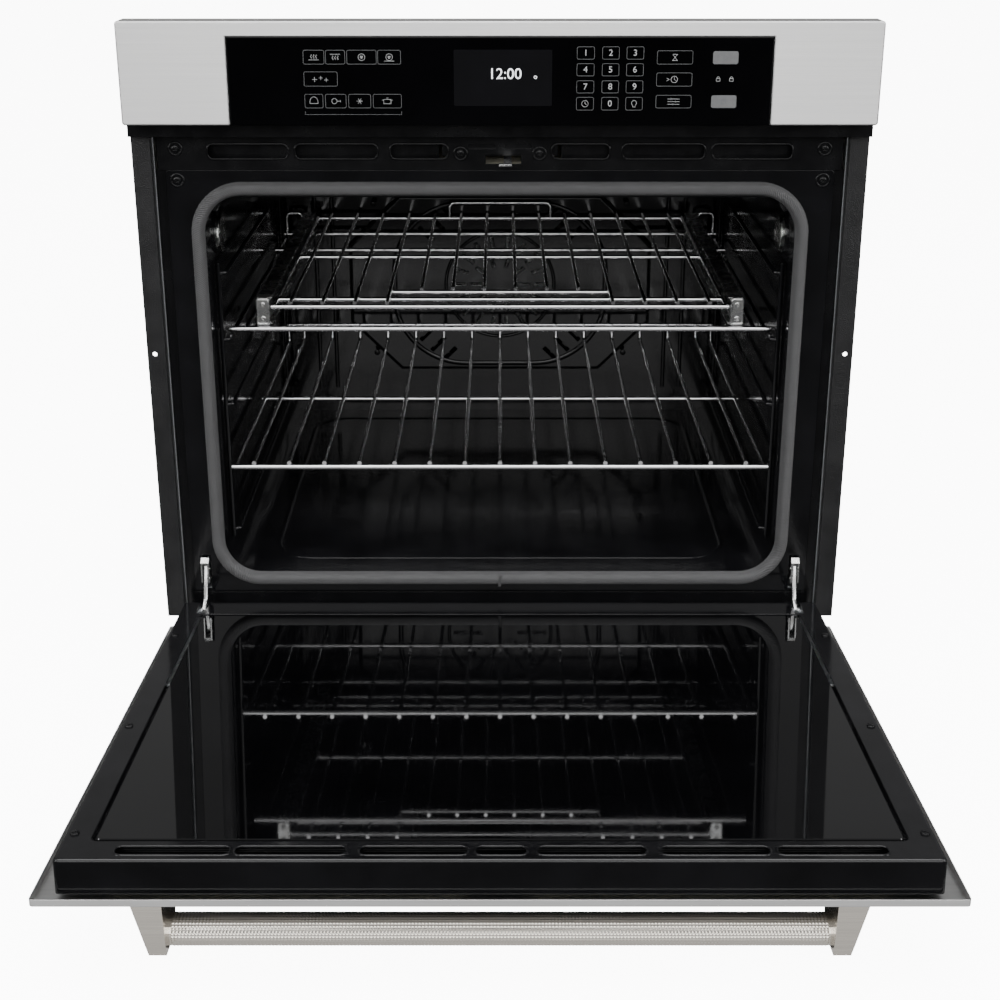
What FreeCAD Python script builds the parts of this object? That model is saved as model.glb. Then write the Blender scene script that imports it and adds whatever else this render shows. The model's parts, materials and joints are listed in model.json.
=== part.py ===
import FreeCAD, Part
import math
import os

# Built-in electric wall oven, millimetres. X runs to the user's right, Y into the wall, Z up.
# The origin is the centre of the base pan's bottom face.

# Driving dimensions
HEIGHT = 690.0  # base pan to the top of the control panel
FRONT = -350.0  # Y of the control panel's front, and of the closed door's front
REAR = 300.0  # Y of the rear panel's outside
FACE = FRONT + 50.0  # Y of the enamelled front frame
CASE_HALF = 361.0  # half the width of the case that enters the cabinet
CASE_TOP = 606.0
LID_SCREWS = (-230, 0, 260)  # Y of the screws along each side of the top cover
SHEET = 1.2

PANEL_HALF = 378.0  # half the width of the control panel and the door
PANEL_LOW = 588.0
GLASS_HALF = 270.0
GLASS_TOP = 675.0

FLANGE_IN = 362.5
FLANGE_OUT = 380.5
FLANGE_LOW = 20.0
FLANGE_TOP = 571.0
FLANGE_HOLE_X = 372.4
FLANGE_HOLE_Z = 335.0
FLANGE_HOLE_R = 2.5

CAVITY_HALF = 311.0
CAVITY_LOW = 72.0
CAVITY_TOP = 505.0
CAVITY_BACK = 242.0
CAVITY_R = 30.0
WALL = 2.0
FAN_Z = 267.0
LAMP_Y = -232.0
LAMP_Z = 451.0

DOOR_LOW = 23.0  # of the closed door
DOOR_TOP = 568.0
DOOR_THICK = 38.0
DOOR_SKIN_DEPTH = 7.0
LINER_HALF = 359.0
LINER_TOP = 560.0
LINER_SCREWS = (120, 330, 520)  # Z of the screws along each side of the liner
PIVOT_Y = -321.0
PIVOT_Z = 32.2
OPEN_DEG = 85.5
HINGE_X = 335.0
PIN_R = 4.0
RUNNING = 0.05

RACK_HALF = 303.0
RACK_ROD_R = 3.0
RACK_WIRE_R = 2.5
LOWER_RACK_Z = 190.0
UPPER_RACK_Z = 342.4
GRID_Z = 365.5
GUIDE_PITCH = 76.2

V = FreeCAD.Vector
X_AXIS = V(1, 0, 0)
Y_AXIS = V(0, 1, 0)
Z_AXIS = V(0, 0, 1)
SIDES = (-1, 1)


def box(x0, x1, y0, y1, z0, z1):
    low_x, high_x = sorted((x0, x1))
    return Part.makeBox(high_x - low_x, y1 - y0, z1 - z0, V(low_x, y0, z0))


def rounded(x0, x1, y0, y1, z0, z1, radius, axis):
    """A block whose four edges along the axis are rounded."""
    block = box(x0, x1, y0, y1, z0, z1)
    edges = [e for e in block.Edges if abs(e.tangentAt(e.FirstParameter).dot(axis)) > 0.9]
    return block.makeFillet(radius, edges)


def rod(start, end, radius):
    start = V(*start)
    way = V(*end) - start
    return Part.makeCylinder(radius, way.Length, start, way)


def bent_rod(points, radius, bend):
    """A round rod along a polyline whose corners are bent to the given radius."""
    points = [V(*p) for p in points]
    edges = []
    start = points[0]
    for before, corner, after in zip(points, points[1:], points[2:]):
        u = (before - corner).normalize()
        w = (after - corner).normalize()
        half = u.getAngle(w) / 2
        reach = bend / math.tan(half)
        inner = corner + (u + w).normalize() * (bend / math.sin(half))
        middle = inner + (corner - inner).normalize() * bend
        edges.append(Part.makeLine(start, corner + u * reach))
        edges.append(Part.Arc(corner + u * reach, middle, corner + w * reach).toShape())
        start = corner + w * reach
    edges.append(Part.makeLine(start, points[-1]))
    ring = Part.Wire([Part.makeCircle(radius, points[0], points[1] - points[0])])
    return Part.Wire(edges).makePipeShell([ring], True, False)


def fuse(shapes):
    return shapes[0].multiFuse(shapes[1:]).removeSplitter()


def cut(shape, tools):
    return shape.cut(Part.makeCompound(tools))


def prism_x(profile, x0, x1):
    """A flat outline of (y, z) points, extruded from x0 to x1."""
    low, high = sorted((x0, x1))
    points = [V(low, y, z) for y, z in profile]
    face = Part.Face(Part.makePolygon(points + points[:1]))
    return face.extrude(V(high - low, 0, 0))


def opened(shape):
    """Swing a piece that is drawn on the closed door to the open rest position."""
    shape = shape.copy()
    shape.rotate(V(0, PIVOT_Y, PIVOT_Z), X_AXIS, OPEN_DEG)
    return shape


def export(name, shape):
    shape.exportStep("parts/" + name + ".step")


def group(name, shapes):
    export(name, Part.makeCompound(shapes))


def screw(x, y, z, way, radius, head, length):
    """A pan-head screw: the head stands out along -way from (x, y, z), the shank runs along way."""
    at = V(x, y, z)
    cap = Part.makeCylinder(radius, head, at - way * head, way)
    shank = Part.makeCylinder(radius * 0.45, length, at, way)
    slot = Part.makeCylinder(radius * 0.35, head * 0.5, at - way * head, way)
    return cap.fuse(shank).cut(slot)


def case():
    inner = CASE_HALF - SHEET
    back = REAR - SHEET
    pan = box(-inner, inner, FACE + 2, back, 0, 25)
    export("base_pan", pan.cut(box(-inner + 1.5, inner - 1.5, FACE + 3.5, back - 1.5, 1.5, 26)))
    for side, name in zip(SIDES, ("side_panel_left", "side_panel_right")):
        panel = box(side * inner, side * CASE_HALF, FACE + 2, REAR, 0, CASE_TOP - SHEET)
        slots = [
            box(side * (inner - 1), side * (CASE_HALF + 1), 60 + 22 * k, 66 + 22 * k, 545, 590)
            for k in range(9)
        ]
        export(name, cut(panel, slots))
    rear = box(-inner, inner, back, REAR, 0, CASE_TOP - SHEET)
    slots = [box(-250 + 28 * k, -242 + 28 * k, back - 1, REAR + 1, 552, 588) for k in range(18)]
    slots.append(Part.makeCylinder(11.5, 4, V(300, back - 1, 520), Y_AXIS))
    export("rear_panel", cut(rear, slots))
    top = box(-CASE_HALF, CASE_HALF, FACE + 2, REAR, CASE_TOP - SHEET, CASE_TOP)
    slots = [box(-200 + 26 * k, -192 + 26 * k, 190, 250, CASE_TOP - 3, CASE_TOP + 1) for k in range(16)]
    for side in SIDES:
        for y in LID_SCREWS:
            slots.append(Part.makeCylinder(1.9, 4, V(side * 350, y, CASE_TOP - 3), Z_AXIS))
    export("top_cover", cut(top, slots))
    rail = box(-349, 349, FACE + 0.5, FACE + 2, 4, 46)
    slots = [box(-300 + 50 * k, -266 + 50 * k, FACE, FACE + 3, 16, 24) for k in range(12)]
    export("lower_rail", cut(rail, slots))
    for side, name in zip(SIDES, ("mounting_flange_left", "mounting_flange_right")):
        plate = box(side * CASE_HALF, side * FLANGE_OUT, FRONT + 41, FRONT + 42.5, FLANGE_LOW, FLANGE_TOP)
        leg = box(side * CASE_HALF, side * FLANGE_IN, FRONT + 41, FRONT + 75, FLANGE_LOW, FLANGE_TOP)
        hole = Part.makeCylinder(
            FLANGE_HOLE_R, 6, V(side * FLANGE_HOLE_X, FRONT + 39, FLANGE_HOLE_Z), Y_AXIS
        )
        export(name, plate.fuse(leg).removeSplitter().cut(hole))


def front():
    frame = rounded(-349, 349, FACE, FACE + 2, 47, 533.5, 4, Y_AXIS)
    mouth = rounded(
        -CAVITY_HALF, CAVITY_HALF, FACE - 1, FACE + 3, CAVITY_LOW, CAVITY_TOP, CAVITY_R, Y_AXIS
    )
    holes = [mouth]
    for side in SIDES:
        holes.append(box(side * (HINGE_X - 5.5), side * (HINGE_X + 5.5), FACE - 1, FACE + 3, 50, 92))
        holes.append(Part.makeCylinder(1.9, 4, V(side * 337, FACE - 1, 523), Y_AXIS))
    export("front_frame", cut(frame, holes))
    vent = box(-356, 356, FACE, FACE + 1.5, 533.5, 574)
    holes = [box(-15, 22, FACE - 1, FACE + 3, 540, 550)]
    for side in SIDES:
        for low, high in ((55, 113), (128, 212), (221, 303)):
            holes.append(rounded(side * low, side * high, FACE - 1, FACE + 3, 546, 560, 3, Y_AXIS))
        holes.append(rounded(side * 5, side * 33, FACE - 1, FACE + 3, 556, 561, 2, Y_AXIS))
        for x, z in ((337, 556), (41, 551)):
            holes.append(Part.makeCylinder(1.9, 4, V(side * x, FACE - 1, z), Y_AXIS))
    export("vent_panel", cut(vent, holes))
    screws = []
    for side in SIDES:
        for x, z in ((337, 523), (337, 556), (41, 551)):
            screws.append(screw(side * x, FACE, z, Y_AXIS, 4, 2.2, 2.5))
    for side in SIDES:
        for y in LID_SCREWS:
            screws.append(screw(side * 350, y, CASE_TOP, V(0, 0, -1), 4, 2.2, 1))
        for z in (165, 384):
            screws.append(screw(side * 178, 230, z, Y_AXIS, 4, 2, 1))
    group("case_screws", screws)
    ring = rounded(-325.6, 325.6, FACE - 11.5, FACE, 58, 521.3, 55, Y_AXIS)
    ring = ring.cut(rounded(-311.2, 311.2, FACE - 12, FACE + 1, 72.4, 506.9, 41, Y_AXIS))
    edges = [e for e in ring.Edges if e.BoundBox.YMax < FACE - 11]
    export("cavity_gasket", ring.makeFillet(6, edges))


def in_window_rim(bounds):
    """True for the front edges at the sides and top of the glass window."""
    at_front = bounds.YMax < FRONT + 0.1
    between = max(abs(bounds.XMin), abs(bounds.XMax)) < GLASS_HALF + 0.1
    return at_front and between and bounds.ZMax < GLASS_TOP + 0.1


def control_panel():
    shell = rounded(-PANEL_HALF, PANEL_HALF, FRONT, FRONT + 28, PANEL_LOW, HEIGHT, 3, Y_AXIS)
    shell = shell.makeFillet(1.8, [e for e in shell.Edges if e.BoundBox.YMax < FRONT + 0.1])
    half = PANEL_HALF - 1.5
    inside = box(-half, half, FRONT + 1.5, FRONT + 30, PANEL_LOW + 1.5, HEIGHT - 1.5)
    window = box(-GLASS_HALF, GLASS_HALF, FRONT - 1, FRONT + 6, PANEL_LOW - 1, GLASS_TOP)
    shell = shell.cut(inside).cut(window)
    rim = [e for e in shell.Edges if in_window_rim(e.BoundBox)]
    export("fascia", shell.makeChamfer(1.0, rim))
    glass = box(-GLASS_HALF + 0.5, GLASS_HALF - 0.5, FRONT + 0.5, FRONT + 4.5, PANEL_LOW, GLASS_TOP - 0.5)
    edges = [e for e in glass.Edges if e.BoundBox.YMax < FRONT + 1]
    export("control_glass", glass.makeChamfer(0.8, edges))
    module = box(-62, 68, FRONT + 5, FRONT + 20, 600, 668)
    export("display_module", module.fuse(box(-20, 20, FRONT + 20, FRONT + 26, 620, 650)))
    board = box(-240, 240, FRONT + 40, FRONT + 41.6, 615, 668)
    parts = [
        box(-200, -160, FRONT + 41.6, FRONT + 63, 622, 655),
        box(-140, -118, FRONT + 41.6, FRONT + 58, 625, 640),
        box(-105, -83, FRONT + 41.6, FRONT + 58, 625, 640),
        box(80, 120, FRONT + 41.6, FRONT + 52, 630, 660),
    ]
    parts += [rod((160 + 24 * k, FRONT + 41.6, 640), (160 + 24 * k, FRONT + 60, 640), 8) for k in range(3)]
    parts += [box(-60 + 30 * k, -44 + 30 * k, FRONT + 41.6, FRONT + 50, 618, 626) for k in range(4)]
    export("control_board", fuse([board] + parts))
    tray = box(-372, 372, FRONT + 29, FRONT + 95, CASE_TOP, 676)
    export("control_housing", tray.cut(box(-371, 371, FRONT + 28, FRONT + 94, CASE_TOP + 1, 675)))
    strip = box(-FLANGE_OUT, FLANGE_OUT, FRONT + 30, FRONT + 38, 571.4, 587.5)
    lip = box(-FLANGE_OUT, FLANGE_OUT, FRONT + 38, FACE, 574.5, 576)
    web = box(-372, 372, FACE - 1.5, FACE, 576, CASE_TOP)
    export("panel_trim_strip", fuse([strip, lip, web]))


def cavity():
    outer = rounded(
        -CAVITY_HALF - WALL, CAVITY_HALF + WALL, FACE + 2, CAVITY_BACK + WALL,
        CAVITY_LOW - WALL, CAVITY_TOP + WALL, CAVITY_R + WALL, Y_AXIS,
    )
    inner = rounded(
        -CAVITY_HALF, CAVITY_HALF, FACE + 1, CAVITY_BACK, CAVITY_LOW, CAVITY_TOP, CAVITY_R, Y_AXIS
    )
    back = CAVITY_BACK + WALL
    fan_at = V(0, back - 3, FAN_Z)
    bulge = Part.makeCylinder(130, 30, V(0, back, FAN_Z), Y_AXIS)
    hollow = [
        inner,
        Part.makeCylinder(128, 31, fan_at, Y_AXIS),
        Part.makeCylinder(6, 50, fan_at, Y_AXIS),
    ]
    lamps = [Part.makeCylinder(19, 700, V(-350, LAMP_Y, LAMP_Z), X_AXIS)]
    probe = [Part.makeCylinder(3.2, 20, V(-210, back - 10, 456), Y_AXIS)]
    legs = [Part.makeCylinder(4, 60, V(x, back + 5, FAN_Z + 114), Y_AXIS) for x in (-12, 12)]
    export("cavity_liner", cut(fuse([outer, bulge]), hollow + lamps + probe + legs))
    blanket = box(-350, 350, FACE + 4, 290, 30, 537)
    blanket = blanket.cut(box(-314, 314, FACE + 1, back + 0.5, 52, 508))
    pocket = Part.makeCylinder(131, 60, V(0, back, FAN_Z), Y_AXIS)
    sides = []
    for side in SIDES:
        sides.append(Part.makeCylinder(26, 50, V(side * 312, LAMP_Y, LAMP_Z), X_AXIS * side))
        sides.append(box(side * 318, side * 352, FACE + 3, -150, 28, 110))
    probe = Part.makeCylinder(4, 60, V(-210, back - 1, 456), Y_AXIS)
    export("insulation_blanket", cut(blanket, [pocket, probe] + sides))
    bowls = []
    domes = []
    bulbs = []
    for side in SIDES:
        way = X_AXIS * side
        at = V(side * 311, LAMP_Y, LAMP_Z)
        bowl = Part.makeCylinder(18.6, 26, at + way * 2, way)
        bowl = bowl.fuse(Part.makeCylinder(12, 10, at + way * 28, way))
        bowl = bowl.fuse(Part.makeCylinder(24, 1, at + way * 2.2, way))
        bowls.append(bowl.cut(Part.makeCylinder(17, 24, at + way, way)))
        dome = Part.makeCylinder(23, 5, at - way * 5.2, way)
        dome = dome.makeFillet(3.5, [e for e in dome.Edges if abs(e.BoundBox.Center.x) < 307])
        domes.append(dome.cut(Part.makeCylinder(16, 3.4, at - way * 3.2, way)))
        bulb = Part.makeCylinder(8, 16, at + way * 5, way)
        bulb = bulb.makeFillet(7.5, [e for e in bulb.Edges if e.BoundBox.XLength < 0.1])
        bulbs.append(bulb.fuse(Part.makeCylinder(4, 6, at + way * 19, way)).removeSplitter())
    group("lamp_housings", bowls)
    group("lamp_glasses", domes)
    group("lamp_bulbs", bulbs)
    tip = Part.makeSphere(2.8, V(-210, 150, 456))
    probe = rod((-210, 150, 456), (-210, back + 20, 456), 2.8).fuse(tip)
    plate = box(-222, -198, CAVITY_BACK - 1.2, CAVITY_BACK, 448, 464)
    export("temperature_probe", probe.fuse(plate))


def heaters():
    broil = []
    level = 488.0
    lanes = [-200, -120, -40, 40, 120, 200]
    points = [(-250, CAVITY_BACK, level), (-250, -200, level)]
    for k, x in enumerate(lanes):
        near, far = (-200, 130) if k % 2 == 0 else (130, -200)
        points += [(x, near, level), (x, far, level)]
    points += [(250, -200, level), (250, CAVITY_BACK, level)]
    broil.append(bent_rod(points, 4, 18))
    broil.append(box(-262, -238, CAVITY_BACK - 1, CAVITY_BACK, 478, 498))
    broil.append(box(238, 262, CAVITY_BACK - 1, CAVITY_BACK, 478, 498))
    export("broil_element", fuse(broil))
    level = 61.0
    points = [(-40, 235, level), (-40, 150, level), (-240, 150, level), (-240, -200, level)]
    points += [(-80, -200, level), (-80, 60, level), (80, 60, level), (80, -200, level)]
    points += [(240, -200, level), (240, 150, level), (40, 150, level), (40, 235, level)]
    export("bake_element", bent_rod(points, 4, 24))
    y = CAVITY_BACK + 14
    ring = Part.makeTorus(115, 3.5, V(0, y, FAN_Z), Y_AXIS)
    legs = [rod((x, y, FAN_Z + 114), (x, REAR - 20, FAN_Z + 114), 3.2) for x in (-12, 12)]
    export("convection_element", fuse([ring] + legs))


def octagon(half, low, high, cut_off, y0, y1):
    """A flat block, seen along Y a rectangle whose corners are cut off."""
    corners = [
        (-half + cut_off, low), (half - cut_off, low), (half, low + cut_off), (half, high - cut_off),
        (half - cut_off, high), (-half + cut_off, high), (-half, high - cut_off), (-half, low + cut_off),
    ]
    points = [V(x, y0, z) for x, z in corners]
    face = Part.Face(Part.makePolygon(points + points[:1]))
    return face.extrude(V(0, y1 - y0, 0))


def convection():
    y = CAVITY_BACK + 8
    hub = Part.makeCylinder(14, 12, V(0, y, FAN_Z), Y_AXIS)
    disc = Part.makeCylinder(90, 1.2, V(0, y + 10.8, FAN_Z), Y_AXIS)
    shaft = rod((0, y, FAN_Z), (0, REAR - 6, FAN_Z), 3)
    blades = []
    for k in range(12):
        blade = box(30, 90, y - 2, y + 11, FAN_Z - 0.6, FAN_Z + 0.6)
        blade.rotate(V(60, y, FAN_Z), Y_AXIS, 28)
        blade.rotate(V(0, y, FAN_Z), Y_AXIS, 30 * k)
        blades.append(blade)
    export("convection_fan", fuse([hub, disc, shaft] + blades))
    motor = Part.makeCylinder(34, 21, V(0, CAVITY_BACK + 32, FAN_Z), Y_AXIS)
    motor = motor.fuse(box(-48, 48, CAVITY_BACK + 32, CAVITY_BACK + 34, FAN_Z - 10, FAN_Z + 10))
    bore = Part.makeCylinder(3 + RUNNING, 60, V(0, CAVITY_BACK + 20, FAN_Z), Y_AXIS)
    export("convection_motor", motor.cut(bore))
    y0 = 230.0
    cover = octagon(215, 138, 396, 72, y0, CAVITY_BACK)
    cover = cover.makeFillet(6, [e for e in cover.Edges if e.BoundBox.YMax < y0 + 0.1])
    slots = [octagon(213, 140, 394, 71, y0 + 1.2, CAVITY_BACK + 1)]
    for side in SIDES:
        for z in (165, 384):
            slots.append(Part.makeCylinder(1.9, 4, V(side * 178, y0 - 1, z), Y_AXIS))
    for ring_r, count, size in ((26, 10, 16), (48, 18, 22)):
        for k in range(count):
            slot = box(ring_r, ring_r + size, y0 - 1, y0 + 3, FAN_Z - 2.5, FAN_Z + 2.5)
            slot.rotate(V(0, y0, FAN_Z), Y_AXIS, 360.0 * k / count)
            slots.append(slot)
    for k in range(4):
        for shift in (-22, 0, 22):
            slot = box(112, 140, y0 - 1, y0 + 3, FAN_Z + shift - 3, FAN_Z + shift + 3)
            slot.rotate(V(0, y0, FAN_Z), Y_AXIS, 45 + 90 * k)
            slots.append(slot)
    export("fan_cover", cut(cover, slots))


def guides():
    for side, name in zip(SIDES, ("rack_guide_left", "rack_guide_right")):
        parts = []
        top = LOWER_RACK_Z + 3 * GUIDE_PITCH
        for y in (-262, 215):
            parts.append(rod((side * 307.6, y, 100), (side * 307.6, y, top + 6), 2.5))
        for k in range(-1, 4):
            z = LOWER_RACK_Z + GUIDE_PITCH * k - RACK_ROD_R - 0.4 - 2.5
            path = [(307.6, -262), (300.5, -258), (300.5, 212), (307.6, 215)]
            parts.append(bent_rod([(side * x, y, z) for x, y in path], 2.5, 2.6))
        export(name, fuse(parts))


def racks():
    z = LOWER_RACK_Z
    parts = [rod((-RACK_HALF, y, z), (RACK_HALF, y, z), RACK_ROD_R) for y in (-274, -42)]
    for k in range(-7, 8):
        x = 39.7 * k
        path = [(x, -275.5, z + 5), (x, 196, z + 5), (x, 199, z + 27)]
        parts.append(bent_rod(path, RACK_WIRE_R, 5))
    for side in SIDES:
        path = [(side * 299.6, -273, z), (side * 299.6, 196, z), (side * 299.6, 199, z + 27)]
        parts.append(bent_rod(path, RACK_WIRE_R, 6))
    parts.append(rod((-301.5, 199.2, z + 26), (301.5, 199.2, z + 26), RACK_WIRE_R))
    export("lower_rack", fuse(parts))
    z = UPPER_RACK_Z
    parts = [rod((-RACK_HALF, y, z), (RACK_HALF, y, z), RACK_ROD_R) for y in (-239, 128, 222)]
    for side in SIDES:
        path = [(277, z), (277, z + 30), (299, z + 30), (299, z)]
        parts.append(bent_rod([(side * x, 221, level) for x, level in path], 2.5, 6))
        parts.append(rod((side * 285, -239, z), (side * 285, 222, z), 2.5))
    export("upper_rack_frame", fuse(parts))
    z = GRID_Z
    near = FRONT + 120
    far = FRONT + 570
    parts = [rod((-256.4, y, z), (256.4, y, z), RACK_ROD_R) for y in (near, near + 31, -2, far)]
    parts.append(rod((-127.5, near + 62, z), (127.5, near + 62, z), RACK_ROD_R))
    for side in SIDES:
        parts.append(rod((side * 254.6, near - 1.2, z), (side * 254.6, far + 1.2, z), RACK_ROD_R))
    for k in range(14):
        x = 36.2 * (k - 6.5)
        start = near + 60 if abs(x) < 110 else near - 1.5
        parts.append(rod((x, start, z + 4.6), (x, far + 1.5, z + 4.6), 2.3))
    back = far - 0.7
    stop = [(-70.5, back, z + 1), (-70.5, back, z + 22), (70.5, back, z + 22), (70.5, back, z + 1)]
    parts.append(bent_rod(stop, 2.5, 8))
    export("upper_rack_grid", fuse(parts))
    outers = []
    middles = []
    inners = []
    y0 = FRONT + 120
    for side in SIDES:
        low = UPPER_RACK_Z + RACK_ROD_R
        outer = box(side * 256, side * 272, y0, y0 + 435, low, low + 31.2)
        outers.append(outer.cut(box(side * 255, side * 270.5, y0 - 1, y0 + 436, low + 1.5, low + 29.7)))
        middle = box(side * 258, side * 269.7, y0, y0 + 435, low + 2.6, low + 28.6)
        middles.append(
            middle.cut(box(side * 257, side * 268.2, y0 - 1, y0 + 436, low + 4.1, low + 27.1))
        )
        bar = box(side * 257.7, side * 266, y0 - 3, y0 + 430, low + 8.6, low + 22.6)
        cap = rounded(side * 258, side * 272.5, y0 - 7, y0 - 3, low + 1, low + 32, 3, Y_AXIS)
        inners.append(bar.fuse(cap))
    group("glides_outer", outers)
    group("glides_middle", middles)
    group("glides_inner", inners)


def latch():
    outline = [
        (4, 14), (-1, 14), (-1, 22), (4, 22), (4, 84), (0, 90),
        (0, 104), (16, 104), (16, 90), (12, 84), (12, 14),
    ]
    points = [V(x, FRONT + d, 544) for x, d in outline]
    hook = Part.Face(Part.makePolygon(points + points[:1])).extrude(V(0, 0, 2))
    export("latch_hook", hook.cut(Part.makeCylinder(3 + RUNNING, 6, V(8, FRONT + 97, 542), Z_AXIS)))
    plate = box(-60, 60, FACE + 3, FACE + 95, 548, 550)
    plate = plate.fuse(box(-60, 60, FACE + 3, FACE + 5, 550, 570))
    pin = Part.makeCylinder(3, 10, V(8, FRONT + 97, 541), Z_AXIS)
    export("latch_plate", plate.fuse(pin))
    motor = Part.makeCylinder(20, 22, V(30, FACE + 62, 550), Z_AXIS)
    export("latch_motor", motor.fuse(box(4, 56, FACE + 57, FACE + 67, 550, 552)))


def cooling():
    low = 542.0
    at = V(0, 120, low)
    scroll = Part.makeCylinder(78, 58, at, Z_AXIS)
    mouth = box(-78, 30, 30, 120, low, low + 58)
    shell = fuse([scroll, mouth])
    hollow = Part.makeCylinder(76.5, 55, at + V(0, 0, 1.5), Z_AXIS)
    hollow = hollow.fuse(box(-76.5, 28.5, 29, 120, low + 1.5, low + 56.5))
    hollow = hollow.fuse(Part.makeCylinder(45, 10, at + V(0, 0, 52), Z_AXIS))
    export("blower_housing", shell.cut(hollow))
    motor = Part.makeCylinder(30, 18, at + V(0, 0, 1.5), Z_AXIS)
    export("blower_motor", motor.cut(Part.makeCylinder(3 + RUNNING, 30, at + V(0, 0, 4), Z_AXIS)))
    shaft = Part.makeCylinder(3, 44, at + V(0, 0, 6), Z_AXIS)
    disc = Part.makeCylinder(62, 1.5, at + V(0, 0, 21), Z_AXIS)
    hub = Part.makeCylinder(9, 14, at + V(0, 0, 21), Z_AXIS)
    hoop = Part.makeCylinder(62, 2, at + V(0, 0, 48), Z_AXIS)
    hoop = hoop.cut(Part.makeCylinder(54, 4, at + V(0, 0, 47), Z_AXIS))
    blades = []
    for k in range(24):
        blade = box(52, 62, 119.5, 120.5, low + 22, low + 49)
        blade.rotate(V(57, 120, low), Z_AXIS, 25)
        blade.rotate(at, Z_AXIS, 15 * k)
        blades.append(blade)
    rim = Part.makeCylinder(62, 40, at + V(0, 0, 15), Z_AXIS)
    wheel = fuse([shaft, disc, hub, hoop] + blades)
    export("blower_wheel", wheel.common(rim.fuse(Part.makeCylinder(5, 70, at, Z_AXIS))))


def wiring():
    y = REAR - SHEET
    gland = Part.makeCylinder(11.3, 14, V(300, y - 6, 520), Y_AXIS)
    nut = Part.makeCylinder(16, 8, V(300, REAR, 520), Y_AXIS)
    gland = fuse([gland, nut])
    export("cable_gland", gland.cut(Part.makeCylinder(7.5, 40, V(300, y - 20, 520), Y_AXIS)))
    block = box(215, 285, y - 22, y, 560, 585)
    ways = [Part.makeCylinder(4, 30, V(226 + 16 * k, y - 30, 573), Y_AXIS) for k in range(4)]
    open_part = box(200, 300, y - 40, y - 6, 550, 600)
    export("terminal_block", block.cut(Part.makeCompound(ways).common(open_part)))


def hinges():
    receivers = []
    arms = []
    bodies = []
    springs = []
    for side in SIDES:
        x = side * HINGE_X
        shell = box(side * (HINGE_X - 7), side * (HINGE_X + 7), FACE + 4.5, FACE + 80, 48, 94)
        inside = box(side * (HINGE_X - 5.5), side * (HINGE_X + 5.5), FACE + 1, FACE + 78, 50, 92)
        receivers.append(shell.cut(inside))
        thick = side * 2.0
        y = PIVOT_Y
        z = PIVOT_Z
        profile = [
            (y - 8, z - 4), (y - 2, z - 8), (y + 6, z - 6), (y + 14, z + 8),
            (FACE - 2, 56), (FACE + 70, 56), (FACE + 70, 74), (FACE + 40, 74),
            (FACE + 36, 82), (FACE + 6, 86), (FACE - 3, 80), (FACE - 8, 62),
            (y + 6, z + 12), (y - 7, z + 6),
        ]
        arm = prism_x(profile, x - thick, x + thick)
        bore = Part.makeCylinder(PIN_R + RUNNING, 20, V(x - 10, y, z), X_AXIS)
        arms.append(arm.cut(bore))
        cheek = []
        for off in (-7.2, 5.8):
            start = side * (HINGE_X + off)
            cheek.append(box(start, start + side * 1.4, FRONT + 13, FRONT + 33, 28, 230))
        web = box(side * (HINGE_X - 7.2), side * (HINGE_X + 7.2), FRONT + 11.6, FRONT + 13, 60, 230)
        end = box(side * (HINGE_X - 7.2), side * (HINGE_X + 7.2), FRONT + 13, FRONT + 33, 228.6, 230)
        pin = Part.makeCylinder(PIN_R, 14.4, V(x - 7.2, y, z), X_AXIS)
        bodies.append(opened(fuse(cheek + [web, end, pin])))
        helix = Part.makeHelix(7, 112, 4.2)
        wire = Part.Wire([Part.makeCircle(0.8, V(4.2, 0, 0), Y_AXIS)])
        coil = Part.Wire(helix.Edges).makePipeShell([wire], True, True)
        coil.translate(V(x, FRONT + 23, 112))
        springs.append(opened(coil))
    group("hinge_receivers", receivers)
    group("hinge_arms", arms)
    group("hinge_bodies", bodies)
    group("hinge_springs", springs)


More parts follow.
